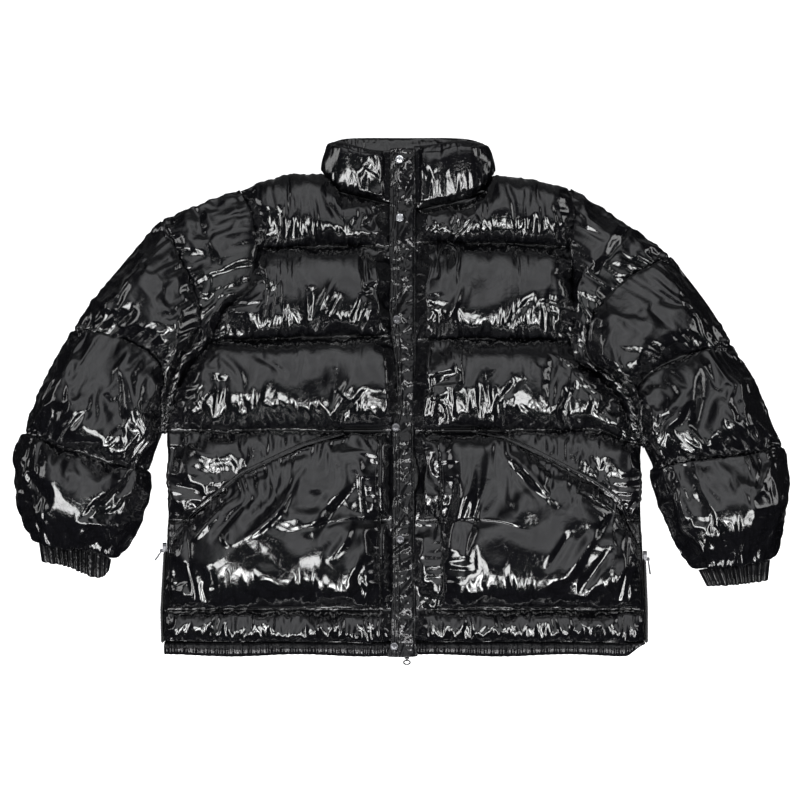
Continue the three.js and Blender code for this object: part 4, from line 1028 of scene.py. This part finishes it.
def make_cuff(side, material):
    """Gathered elastic cuff: uneven ridges from the sleeve seam to the hand, with a slit for the hand."""
    cuff = CUFFS[side]
    start = rounded(cuff["sleeve"])
    end = rounded(cuff["hand"])
    per_side = CUFF_GATHERS * 12
    top_share = np.linspace(0, 1, per_side + 1)
    share = np.concatenate([top_share, top_share[-2:0:-1]])
    is_top = np.arange(len(share)) <= per_side
    rng = np.random.default_rng(3 if side == "right" else 4)
    rings = []
    outline = [(step / CUFF_ROWS, 1) for step in range(CUFF_ROWS + 1)] + CUFF_MOUTH
    phase = rng.uniform(0, 6)
    for along, open_share in outline:
        xy = spaced(start, share) * (1 - along) + spaced(end, share) * along
        middle = (1 - np.abs(2 * share - 1) ** 3) ** 0.5
        lean = 0.016 * math.sin(4 * along + phase)
        crest = ridges(share + lean, 1 / CUFF_GATHERS, 5)
        swell = 1 - 0.16 * abs(2 * min(along, 1) - 1) ** 3
        half = (CUFF_HALF * swell - CUFF_RIDGE * (1 - crest)) * middle * open_share
        heading = (spaced(end, share) - spaced(start, share)) / 30
        xy = xy + heading * (3 * crest * max(0, along - 0.5))[:, None]
        z = CUFF_HEIGHT + np.where(is_top, half, -half)
        rings.append(np.column_stack([xy, np.maximum(0, z)]))
    points, faces = tube(np.stack(rings))
    if side == "left":
        faces = flipped(faces)
    make_padded(f"gathered_cuff_{side}", f"cuff_{side}", points, faces, material, "cuff_elastic")


# Collar


def collar_outward(seam, top):
    """Level directions out of the collar's wall, one at each station."""
    run = np.gradient(seam, axis=0) + np.gradient(top, axis=0)
    run[:, 1] = 0
    run /= np.linalg.norm(run, axis=1, keepdims=True)
    return np.stack([run[:, 2], np.zeros(len(run)), -run[:, 0]], axis=1)


def collar_line(seam, top, up, reach):
    """One line of the wall all the way round, and how firmly each of its points is sewn."""
    place = walked(seam)
    below = np.full(len(place), up * COLLAR_WIDTH)
    above = np.full(len(place), (1 - up) * COLLAR_WIDTH)
    crease = puckers(place, below, 61, 20) + 0.6 * puckers(place, above, 62, 12)
    extra = 1.7 * crease * min(1, 4 * up * (1 - up) + 0.2) if reach > 0 else 0.4 * crease
    end = np.minimum(1, np.minimum(place, place[-1] - place) / 16)
    push = reach * (0.55 + 0.45 * end) + extra
    points = seam + (top - seam) * up + collar_outward(seam, top) * push[:, None]
    points[:, 2] = np.maximum(points[:, 2], 0)
    in_band = (np.abs(points[:, 0] - PLACKET_X) < SHELF_HALF) & (points[:, 2] > 28)
    below_shelf = np.minimum(points[:, 2], shelf_height(points[:, 1]) - SEAM_GAP)
    points[:, 2] = np.where(in_band, below_shelf, points[:, 2])
    firm = np.full(len(place), float(up < 0.04 or up > 0.97))
    firm[in_band] = 1
    firm[[0, -1]] = 1
    return points, firm


def make_collar(material):
    """Padded stand collar, swept round its seam, with seams and ends that stay sewn."""
    seam = rounded([low for low, _ in COLLAR], steps=12)
    top = rounded([high for _, high in COLLAR], steps=12)
    wall = rounded(COLLAR_WALL, steps=4)
    lines = [collar_line(seam, top, up, reach) for up, reach in wall]
    rings = np.stack([points for points, _ in lines], axis=1)
    sewn = np.stack([firm for _, firm in lines], axis=1)
    points, faces = tube(rings)
    piece = make_padded("shell_collar", "collar", points, faces, material)
    will_puff(piece, sewn.ravel(), COLLAR_PUFF)
    place = walked(seam)
    run = np.repeat(place[:, None], len(wall), axis=1)
    up = np.repeat(np.array([share for share, _ in wall])[None] * COLLAR_WIDTH, len(seam), axis=0)
    from_ends = np.minimum(run, place[-1] - run)
    fields = [
        (run, up, 161, GATHERED_ABOVE),
        (run, COLLAR_WIDTH - up, 162, CRUMPLED),
        (up, np.abs(from_ends - 30), 163, CRUMPLED),
    ]
    will_crease(piece, fields, smooth(24, 40, from_ends))


# Placket, hem band and snaps


def placket_edges(y):
    """The x of the placket's free edge and of its sewn edge at each y."""
    marks, free, sewn = np.array(PLACKET, float).T
    return np.interp(y, marks, free), np.interp(y, marks, sewn)


def placket_top(share, y):
    """Height of the placket's outer side across its width and along it."""
    crown = (1 - np.abs(2 * share - 1) ** 4) ** 0.5
    wave = 1.3 * np.sin(y / 17.0 + 1.2 * np.sin(y / 57.0)) + 0.7 * np.sin(y / 7.3 + 5 * share)
    channel = sum(np.exp(-((share - seam) / 0.05) ** 2) for seam in PLACKET_SEAMS)
    padding = (PLACKET_THICKNESS - PLACKET_RIM) * crown
    return shelf_height(y) + SEAM_GAP + PLACKET_RIM + padding + wave * crown - 1.5 * channel


def make_placket(material):
    """Crinkled storm flap over the front zip, with creases strewn over it and along its seams."""
    y = np.linspace(PLACKET[0][0], PLACKET[-1][0], PLACKET_ROWS)
    share = np.linspace(0, 1, PLACKET_COLUMNS)
    free, sewn = placket_edges(y)
    free = free + 0.9 * np.sin(y / 23.0) * (np.abs(y) < 330)
    x = free[:, None] + (sewn - free)[:, None] * share[None]
    full_y = np.broadcast_to(y[:, None], x.shape)
    z = placket_top(share[None], full_y)
    inside = (1 - np.abs(2 * share - 1) ** 6)[None]
    z = z + inside * scattered(x, full_y, 71, 150, 46, 18, 40, 3.2, 3.2)
    z = z + inside * scattered(x, full_y, 72, 70, -38, 18, 28, 2.2, 2.6)
    across = (share * np.mean(sewn - free))[None] + np.zeros_like(x)
    for seed, start in ((73, 0.27), (74, 0.73)):
        away = np.abs(across - start * np.mean(sewn - free))
        z = z + inside * crease_field(full_y.ravel(), away.ravel(), seed, **SEWN_EDGE).reshape(x.shape)
    rim = np.repeat(shelf_height(y)[:, None] + SEAM_GAP, 2, axis=1)
    points, faces = slab(np.stack([x, full_y, z], axis=-1), rim)
    refine(make_padded("storm_flap", "placket", points, faces, material))


def make_hem_band(side, start, end, material):
    """Elastic hem band: fine uneven gathers across a round section."""
    count = int(abs(end - start) / HEM_STEP)
    x = np.linspace(start, end, count)
    corner = 18 * smooth(325, 356, x)
    edge = HEM_EDGE + corner + 1.6 * np.sin(x / 31)
    inner = HEM_SEAM - SEAM_GAP
    sections = []
    for across, rise in HEM_PROFILE:
        gather = ridges(x + 4 * across, 10, 81)
        fine = ridges(x - 6 * across, 6, 82)
        thick = HEM_THICKNESS * (0.6 + 0.36 * gather * (1 - 0.3 * across) + 0.16 * fine)
        y = edge + (inner - edge) * across + (0.8 * gather if across < 0.1 else 0)
        if side != "back":
            z = SEAM_PLANE + SEAM_GAP + thick * rise
        else:
            z = np.maximum(0, SEAM_PLANE - 1.6 * thick * rise)
        sections.append(np.column_stack([x, y, z]))
    rings = np.stack(sections, axis=1)
    points, faces = tube(rings)
    if side != "back":
        faces = flipped(faces)
    refine(make_padded(f"hem_gathers_{side}", f"hem_binding_{side}", points, faces, material))


def make_snap(number, x, y, material):
    """Snap cap: rolled rim, shallow ring groove and a slightly domed middle."""
    tilt = math.atan(COLLAR_SLOPE) if y > COLLAR_START else 0
    z = float(shelf_height(y)) + PLACKET_THICKNESS + 2 * SEAM_GAP
    profile = [(0.01, -2), *[(SNAP_RADIUS * share, rise) for share, rise in SNAP_PROFILE], (0.01, 2.35)]
    angles = 2 * math.pi * np.arange(SNAP_SIDES) / SNAP_SIDES
    circle = np.stack([np.cos(angles), np.sin(angles), np.ones(SNAP_SIDES)], axis=1)
    rings = np.array([circle * (radius, radius, rise) for radius, rise in profile])
    turned = rings.copy()
    turned[..., 1] = rings[..., 1] * math.cos(tilt) - rings[..., 2] * math.sin(tilt)
    turned[..., 2] = rings[..., 1] * math.sin(tilt) + rings[..., 2] * math.cos(tilt)
    points, faces = tube(turned + np.array((x, y, z)))
    piece = make_piece(f"snap_cap_{number}", points, faces, material, slot="snap_metal")
    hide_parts(f"snap_{number}")


# Stitches


def stitch_points(line, heights):
    """Ends of each stitch along a line in plan."""
    points = np.array(line, float)
    total = walked(points)[-1]
    starts = np.arange(1, total - STITCH_PITCH, STITCH_PITCH) / total
    ends = starts + STITCH_SHARE * STITCH_PITCH / total
    plans = (spaced(points, starts), spaced(points, ends))
    return [np.column_stack([plan, heights(plan)]) for plan in plans]


def joined(parts):
    """Points and faces of one mesh that holds many closed shells, each given by its rings."""
    points = []
    faces = []
    for rings in parts:
        own_points, own_faces = tube(np.array(rings, float))
        faces += [[len(points) + i for i in face] for face in own_faces]
        points += own_points.tolist()
    return points, faces


def make_stitches(name, rows, material):
    """Every stitch of a seam as a small rounded bar, joined in one mesh."""
    up = np.array([0, 0, STITCH_HALF])
    bars = []
    for a, b in rows:
        run = b - a
        run = run / np.linalg.norm(run, axis=1, keepdims=True)
        side = np.stack([-run[:, 1], run[:, 0], np.zeros(len(run))], axis=1) * STITCH_HALF
        for start, end, across in zip(a, b, side):
            stations = ((start, 0.5), ((start + end) / 2 + up, 1.0), (end, 0.5))
            bars.append([[at - across * k, at + up * k, at + across * k, at - up] for at, k in stations])
    make_piece(name, *joined(bars), material)


def make_quilting(side, grid, thread):
    """Thread along each quilting seam of a front, sunk in the valley."""
    rows = []
    for baffle in FRONTS[side][1:-1]:
        y = baffle["seam"][0][1]
        line = grid[int(np.argmin(np.abs(grid[:, 0, 1] - y)))]
        line = line[np.abs(line[:, 0] - PLACKET_X) > SHELF_HALF]
        rows.append(stitch_points(line[:, :2], lambda plan, seam=line: np.interp(
            np.abs(plan[:, 0]), np.abs(seam[:, 0]), seam[:, 2]) + 0.5))
    make_stitches(f"quilting_stitches_{side}", rows, thread)


def make_placket_stitches(thread):
    """Thread along the three seams of the placket."""
    y = np.linspace(-368, 359, 120)
    free, sewn = placket_edges(y)
    rows = []
    for share in PLACKET_SEAMS:
        line = np.column_stack([free + (sewn - free) * share, y])
        rows.append(stitch_points(line, lambda plan, at=share: placket_top(at, plan[:, 1]) + 0.25))
    make_stitches("placket_stitches", rows, thread)


def make_pocket_stitches(side, top, grid, thread):
    """Thread down the pocket's front edge, along its bottom and along its welt."""

    def on_pocket(plan):
        return height_over(top, plan[:, 0], plan[:, 1]) + 0.2

    def on_welt(plan):
        return height_over(grid, plan[:, 0], plan[:, 1]) + 5.2

    ends = (top[2, 0], top[-3, 0])
    rows = []
    for inset in (2.5, 6.5):
        rows.append(stitch_points([(x + OUTWARD[side] * inset, y) for x, y, _ in ends], on_pocket))
    rows.append(stitch_points([(x, y + 2.5) for x, y, _ in top[0, 1:-1]], on_pocket))
    make_stitches(f"pocket_stitches_{side}", rows, thread)
    here, normal = opening_line(side, np.linspace(0.15, 0.975, 60))
    rows = [stitch_points(here + normal * offset, on_welt) for offset in (2.4, 5.6)]
    make_stitches(f"welt_stitches_{side}", rows, thread)


def make_all_stitches(grids, tops, thread):
    """Quilting, placket, pocket and welt stitches."""
    for side, grid in grids.items():
        make_quilting(side, grid, thread)
    make_placket_stitches(thread)
    for side, top in tops.items():
        make_pocket_stitches(side, top, grids[side], thread)


# Zip teeth


def make_zip_teeth(side, material):
    """Teeth of a side zip, one small chamfered bar each, set in turn a little up and a little down."""
    hem, above = FRONTS[side][:2]
    edge_x, edge_y = np.array([hem["seam"][-1], above["seam"][-1], above["edge"][0]], float).T
    teeth = []
    for number, y in enumerate(np.arange(HEM_SEAM, SIDE_ZIP_TOPS[side] - 16, TOOTH_PITCH)):
        x = np.interp(y, edge_y, edge_x) + OUTWARD[side] * TOOTH_OUT
        z = SEAM_PLANE + (0.5 if number % 2 else -0.5)
        ends = (y - 0.3 * TOOTH_PITCH, y + 0.3 * TOOTH_PITCH)
        teeth.append([[(x + 0.9 * a, end, z + 3.2 * b) for a, b in TOOTH_SECTION] for end in ends])
    make_piece(f"zip_teeth_{side}", *joined(teeth), material, slot="zip_tape", shade_smooth=False)


# Materials


def add_node(tree, kind, inputs=None, **settings):
    """A new shader node. Each input is given a value, or an output socket to be linked to."""
    made = tree.nodes.new(kind)
    for key, value in settings.items():
        setattr(made, key, value)
    fill_inputs(tree, made, inputs or {})
    return made


def fill_inputs(tree, made, inputs):
    """Sets or links each named input of a node."""
    for key, value in inputs.items():
        if isinstance(value, bpy.types.NodeSocket):
            tree.links.new(value, made.inputs[key])
        else:
            made.inputs[key].default_value = value


def ranged(tree, value, before, after, kind="LINEAR"):
    """A value spread from one range over another."""
    limits = {"From Min": before[0], "From Max": before[1], "To Min": after[0], "To Max": after[1]}
    made = add_node(tree, "ShaderNodeMapRange", {"Value": value, **limits}, interpolation_type=kind)
    return made.outputs["Result"]


def worked_out(tree, operation, *values):
    """The result of a sum, product or other operation on values or sockets."""
    return add_node(tree, "ShaderNodeMath", dict(enumerate(values)), operation=operation).outputs[0]


def shaded(tree, share, colour, dark, light):
    """A colour that varies with share between a darker and a lighter shade of it."""
    ends = {"Color1": (*[c * dark for c in colour], 1), "Color2": (*[c * light for c in colour], 1)}
    return add_node(tree, "ShaderNodeMixRGB", {"Fac": share, **ends}).outputs["Color"]


def crinkle_group():
    """Fine crinkles of coated nylon: a height and a mask that picks out the creases, which the nylon uses
    for its gloss and for painted shade.
    """
    group = bpy.data.node_groups.new("Crinkled film", "ShaderNodeTree")
    sockets = {"Scale": "INPUT", "Depth": "INPUT", "Height": "OUTPUT", "Creases": "OUTPUT"}
    for name, way in sockets.items():
        group.interface.new_socket(name, in_out=way, socket_type="NodeSocketFloat")
    given = add_node(group, "NodeGroupInput").outputs
    place = add_node(group, "ShaderNodeTexCoord").outputs["Object"]
    soft = add_node(group, "ShaderNodeTexNoise",
                    {"Vector": place, "Scale": given["Scale"], "Detail": 3, "Distortion": 1.4})
    bend = add_node(group, "ShaderNodeTexNoise", {"Vector": place, "Scale": 14})
    shift = add_node(group, "ShaderNodeMixRGB",
                     {"Fac": 0.06, "Color1": place, "Color2": bend.outputs["Color"]})
    bigger = worked_out(group, "MULTIPLY", given["Scale"], 0.45)
    sharp = add_node(group, "ShaderNodeTexVoronoi", {"Vector": shift.outputs["Color"], "Scale": bigger},
                     feature="DISTANCE_TO_EDGE")
    edge = ranged(group, sharp.outputs["Distance"], (0, 0.16), (0, 1))
    total = worked_out(group, "MULTIPLY_ADD", edge, 0.35, soft.outputs["Fac"])
    height = worked_out(group, "MULTIPLY", total, given["Depth"])
    add_node(group, "NodeGroupOutput", {"Height": height, "Creases": edge})
    return group


def new_material(name):
    material = bpy.data.materials.new(name)
    material.use_nodes = True
    return material, material.node_tree, material.node_tree.nodes["Principled BSDF"]


def nylon_material(name, crinkle, scale, depth, roughness, colour=FILM_BLACK, coat=0.9):
    """Coated nylon: near-black film, glossy, with fine crinkles, a faint unevenness of its gloss, and
    painted shade that darkens its colour in the crinkles' creases.
    """
    material, tree, shader = new_material(name)
    film = add_node(tree, "ShaderNodeGroup", {}, node_tree=crinkle)
    fill_inputs(tree, film, {"Scale": scale, "Depth": depth})
    bump = add_node(tree, "ShaderNodeBump",
                    {"Height": film.outputs["Height"], "Distance": 0.0011, "Strength": 0.6})
    creases = film.outputs["Creases"]
    fill_inputs(tree, shader, {
        # Painted shade: the colour is darker in the crinkles' creases and lighter on the flat film between
        # them
        "Base Color": shaded(tree, creases, colour, 0.8, 1.3),
        "Roughness": ranged(tree, creases, (0, 1), (roughness * 1.35, roughness * 0.85)),
        "Normal": bump.outputs["Normal"],
        "IOR": 1.52,
        "Coat Weight": coat,
        "Coat Roughness": 0.07,
    })
    return material


def metal_material(name, colour, roughness):
    """Worn metal: its gloss varies with fine scratches and its colour with faint tarnish."""
    material, tree, shader = new_material(name)
    place = add_node(tree, "ShaderNodeTexCoord").outputs["Object"]
    scratches = add_node(tree, "ShaderNodeTexNoise", {"Vector": place, "Scale": 420, "Detail": 4})
    worn = scratches.outputs["Fac"]
    fill_inputs(tree, shader, {
        "Base Color": shaded(tree, worn, colour, 0.75, 1),
        "Roughness": ranged(tree, worn, (0, 1), (roughness * 0.7, roughness * 1.5)),
        "Metallic": 1,
    })
    return material


def weave_material(name, colour, scale):
    """Tape or thread: a fine twill of raised yarns, with painted shade in the grooves between them and a
    painted highlight on their tops.
    """
    material, tree, shader = new_material(name)
    place = add_node(tree, "ShaderNodeTexCoord").outputs["Object"]
    wave = add_node(tree, "ShaderNodeTexWave", {"Vector": place, "Scale": scale, "Distortion": 0.6},
                    bands_direction="DIAGONAL")
    yarn = wave.outputs["Fac"]
    bump = add_node(tree, "ShaderNodeBump", {"Height": yarn, "Distance": 0.0002})
    fill_inputs(tree, shader, {
        # Painted shade and highlight: the colour follows the yarns' height, darker in the grooves and
        # lighter on the raised yarns
        "Base Color": shaded(tree, yarn, colour, 0.6, 1.4),
        "Normal": bump.outputs["Normal"],
        "Roughness": 0.5,
        "Sheen Weight": 0.2,
    })
    return material


def dress_node(name, material):
    """Gives a CAD node that stays in sight its material."""
    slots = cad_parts[name].data.materials
    slots.clear()
    slots.append(material)


# Scene


def make_floor():
    """White paper under the jacket, which the camera sees as white and no reflection shows."""
    mesh = bpy.data.meshes.new("floor")
    corners = [(x * FLOOR_SIZE, y * FLOOR_SIZE, 0) for x, y in ((-1, -1), (1, -1), (1, 1), (-1, 1))]
    mesh.from_pydata(corners, [], [[0, 1, 2, 3]])
    floor = link_object("floor", mesh)
    material, tree, shader = new_material("White paper")
    seen = add_node(tree, "ShaderNodeLightPath").outputs["Is Camera Ray"]
    fill_inputs(tree, shader, {
        "Base Color": (0.9, 0.9, 0.9, 1),
        "Roughness": 0.9,
        "Specular IOR Level": 0,
        "Emission Color": (1, 1, 1, 1),
        "Emission Strength": ranged(tree, seen, (0, 1), (0.4, 1)),
    })
    mesh.materials.append(material)
    floor.location.z = -FLOOR_GAP
    floor.visible_glossy = False


def area_light(name, place, size, radiance):
    """A rectangular light that faces the middle of the floor."""
    light = bpy.data.lights.new(name, "AREA")
    light.shape = "RECTANGLE"
    light.size, light.size_y = size
    light.energy = radiance * math.pi * size[0] * size[1]
    lamp = link_object(name, light)
    lamp.location = place
    lamp.rotation_euler = (-Vector(place)).to_track_quat("-Z", "Y").to_euler()


def make_lights():
    for name, place, size, radiance in LIGHTS:
        area_light(name, place, size, radiance)


def make_world():
    """Soft ceiling: grey overhead, fading out toward the hem, to the sides and low down."""
    world = bpy.data.worlds.new("Studio")
    world.use_nodes = True
    tree = world.node_tree
    place = add_node(tree, "ShaderNodeTexCoord").outputs["Generated"]
    parts = add_node(tree, "ShaderNodeSeparateXYZ", {0: place}).outputs
    clouds = add_node(tree, "ShaderNodeTexNoise", {"Vector": place, "Scale": 2.2})
    toward_collar = ranged(tree, parts["Y"], CEILING_FADE, (CEILING_DARK, CEILING_GREY), "SMOOTHSTEP")
    overhead = ranged(tree, parts["Z"], CEILING_LOW, (0.12, 1), "SMOOTHSTEP")
    sideways = worked_out(tree, "ABSOLUTE", parts["X"])
    middle = ranged(tree, sideways, PANEL_SIDES, (1, 0.12), "SMOOTHSTEP")
    uneven = ranged(tree, clouds.outputs["Fac"], (0.3, 0.7), (0.6, 1.2))
    grey = worked_out(tree, "MULTIPLY", toward_collar, overhead)
    for factor in (uneven, middle):
        grey = worked_out(tree, "MULTIPLY", grey, factor)
    seen = add_node(tree, "ShaderNodeLightPath").outputs["Is Camera Ray"]
    strength = worked_out(tree, "MAXIMUM", grey, seen)
    fill_inputs(tree, tree.nodes["Background"], {"Color": (0.97, 0.98, 1, 1), "Strength": strength})
    bpy.context.scene.world = world
    bpy.context.scene.view_settings.view_transform = "Standard"


def make_camera():
    """Camera straight above the jacket."""
    data = bpy.data.cameras.new("Camera")
    data.sensor_width = SENSOR_WIDTH
    data.lens = SENSOR_WIDTH * (CAMERA_HEIGHT - MID_HEIGHT) / VIEW_WIDTH
    camera = link_object("Camera", data)
    camera.location = (0, 0, CAMERA_HEIGHT)
    bpy.context.scene.camera = camera


def build():
    """Makes every piece, runs the cloth, lays in the creases and sets up the studio."""
    crinkle = crinkle_group()
    shell = nylon_material("Gloss nylon", crinkle, 150, 0.5, 0.13)
    patch_cloth = nylon_material("Gloss nylon of the pockets", crinkle, 120, 0.45, 0.12)
    band = nylon_material("Gathered nylon", crinkle, 160, 0.4, 0.12, colour=BAND_BLACK, coat=0.0)
    silver = metal_material("Snap metal", SILVER, 0.24)
    gunmetal = metal_material("Gunmetal", GUNMETAL, 0.3)
    tape = weave_material("Zip tape", TAPE_BLACK, 900)
    thread = weave_material("Black thread", THREAD_BLACK, 1500)

    make_camera()
    grids = {side: make_front(side, shell) for side in FRONTS}
    make_back(shell)
    tops = {side: make_pocket(side, grids[side], patch_cloth) for side in POCKETS}
    for side in SLEEVES:
        make_sleeve(side, shell)
        make_cuff(side, band)
    make_collar(shell)
    make_placket(band)
    for side, (start, end) in HEM_BANDS.items():
        make_hem_band(side, start, end, band)
    for number, (x, y) in enumerate(SNAPS, 1):
        make_snap(number, x, y, silver if number < 3 else gunmetal)
    make_all_stitches(grids, tops, thread)
    for side in SIDE_ZIP_TOPS:
        make_zip_teeth(side, gunmetal)
    for kind, material in (("zip", tape), ("slider", gunmetal), ("pull", gunmetal)):
        for name in (f"main_{kind}", f"side_{kind}_right", f"side_{kind}_left"):
            dress_node(name, material)
    puff_all()
    crease_all()
    make_floor()
    make_lights()
    make_world()


build()
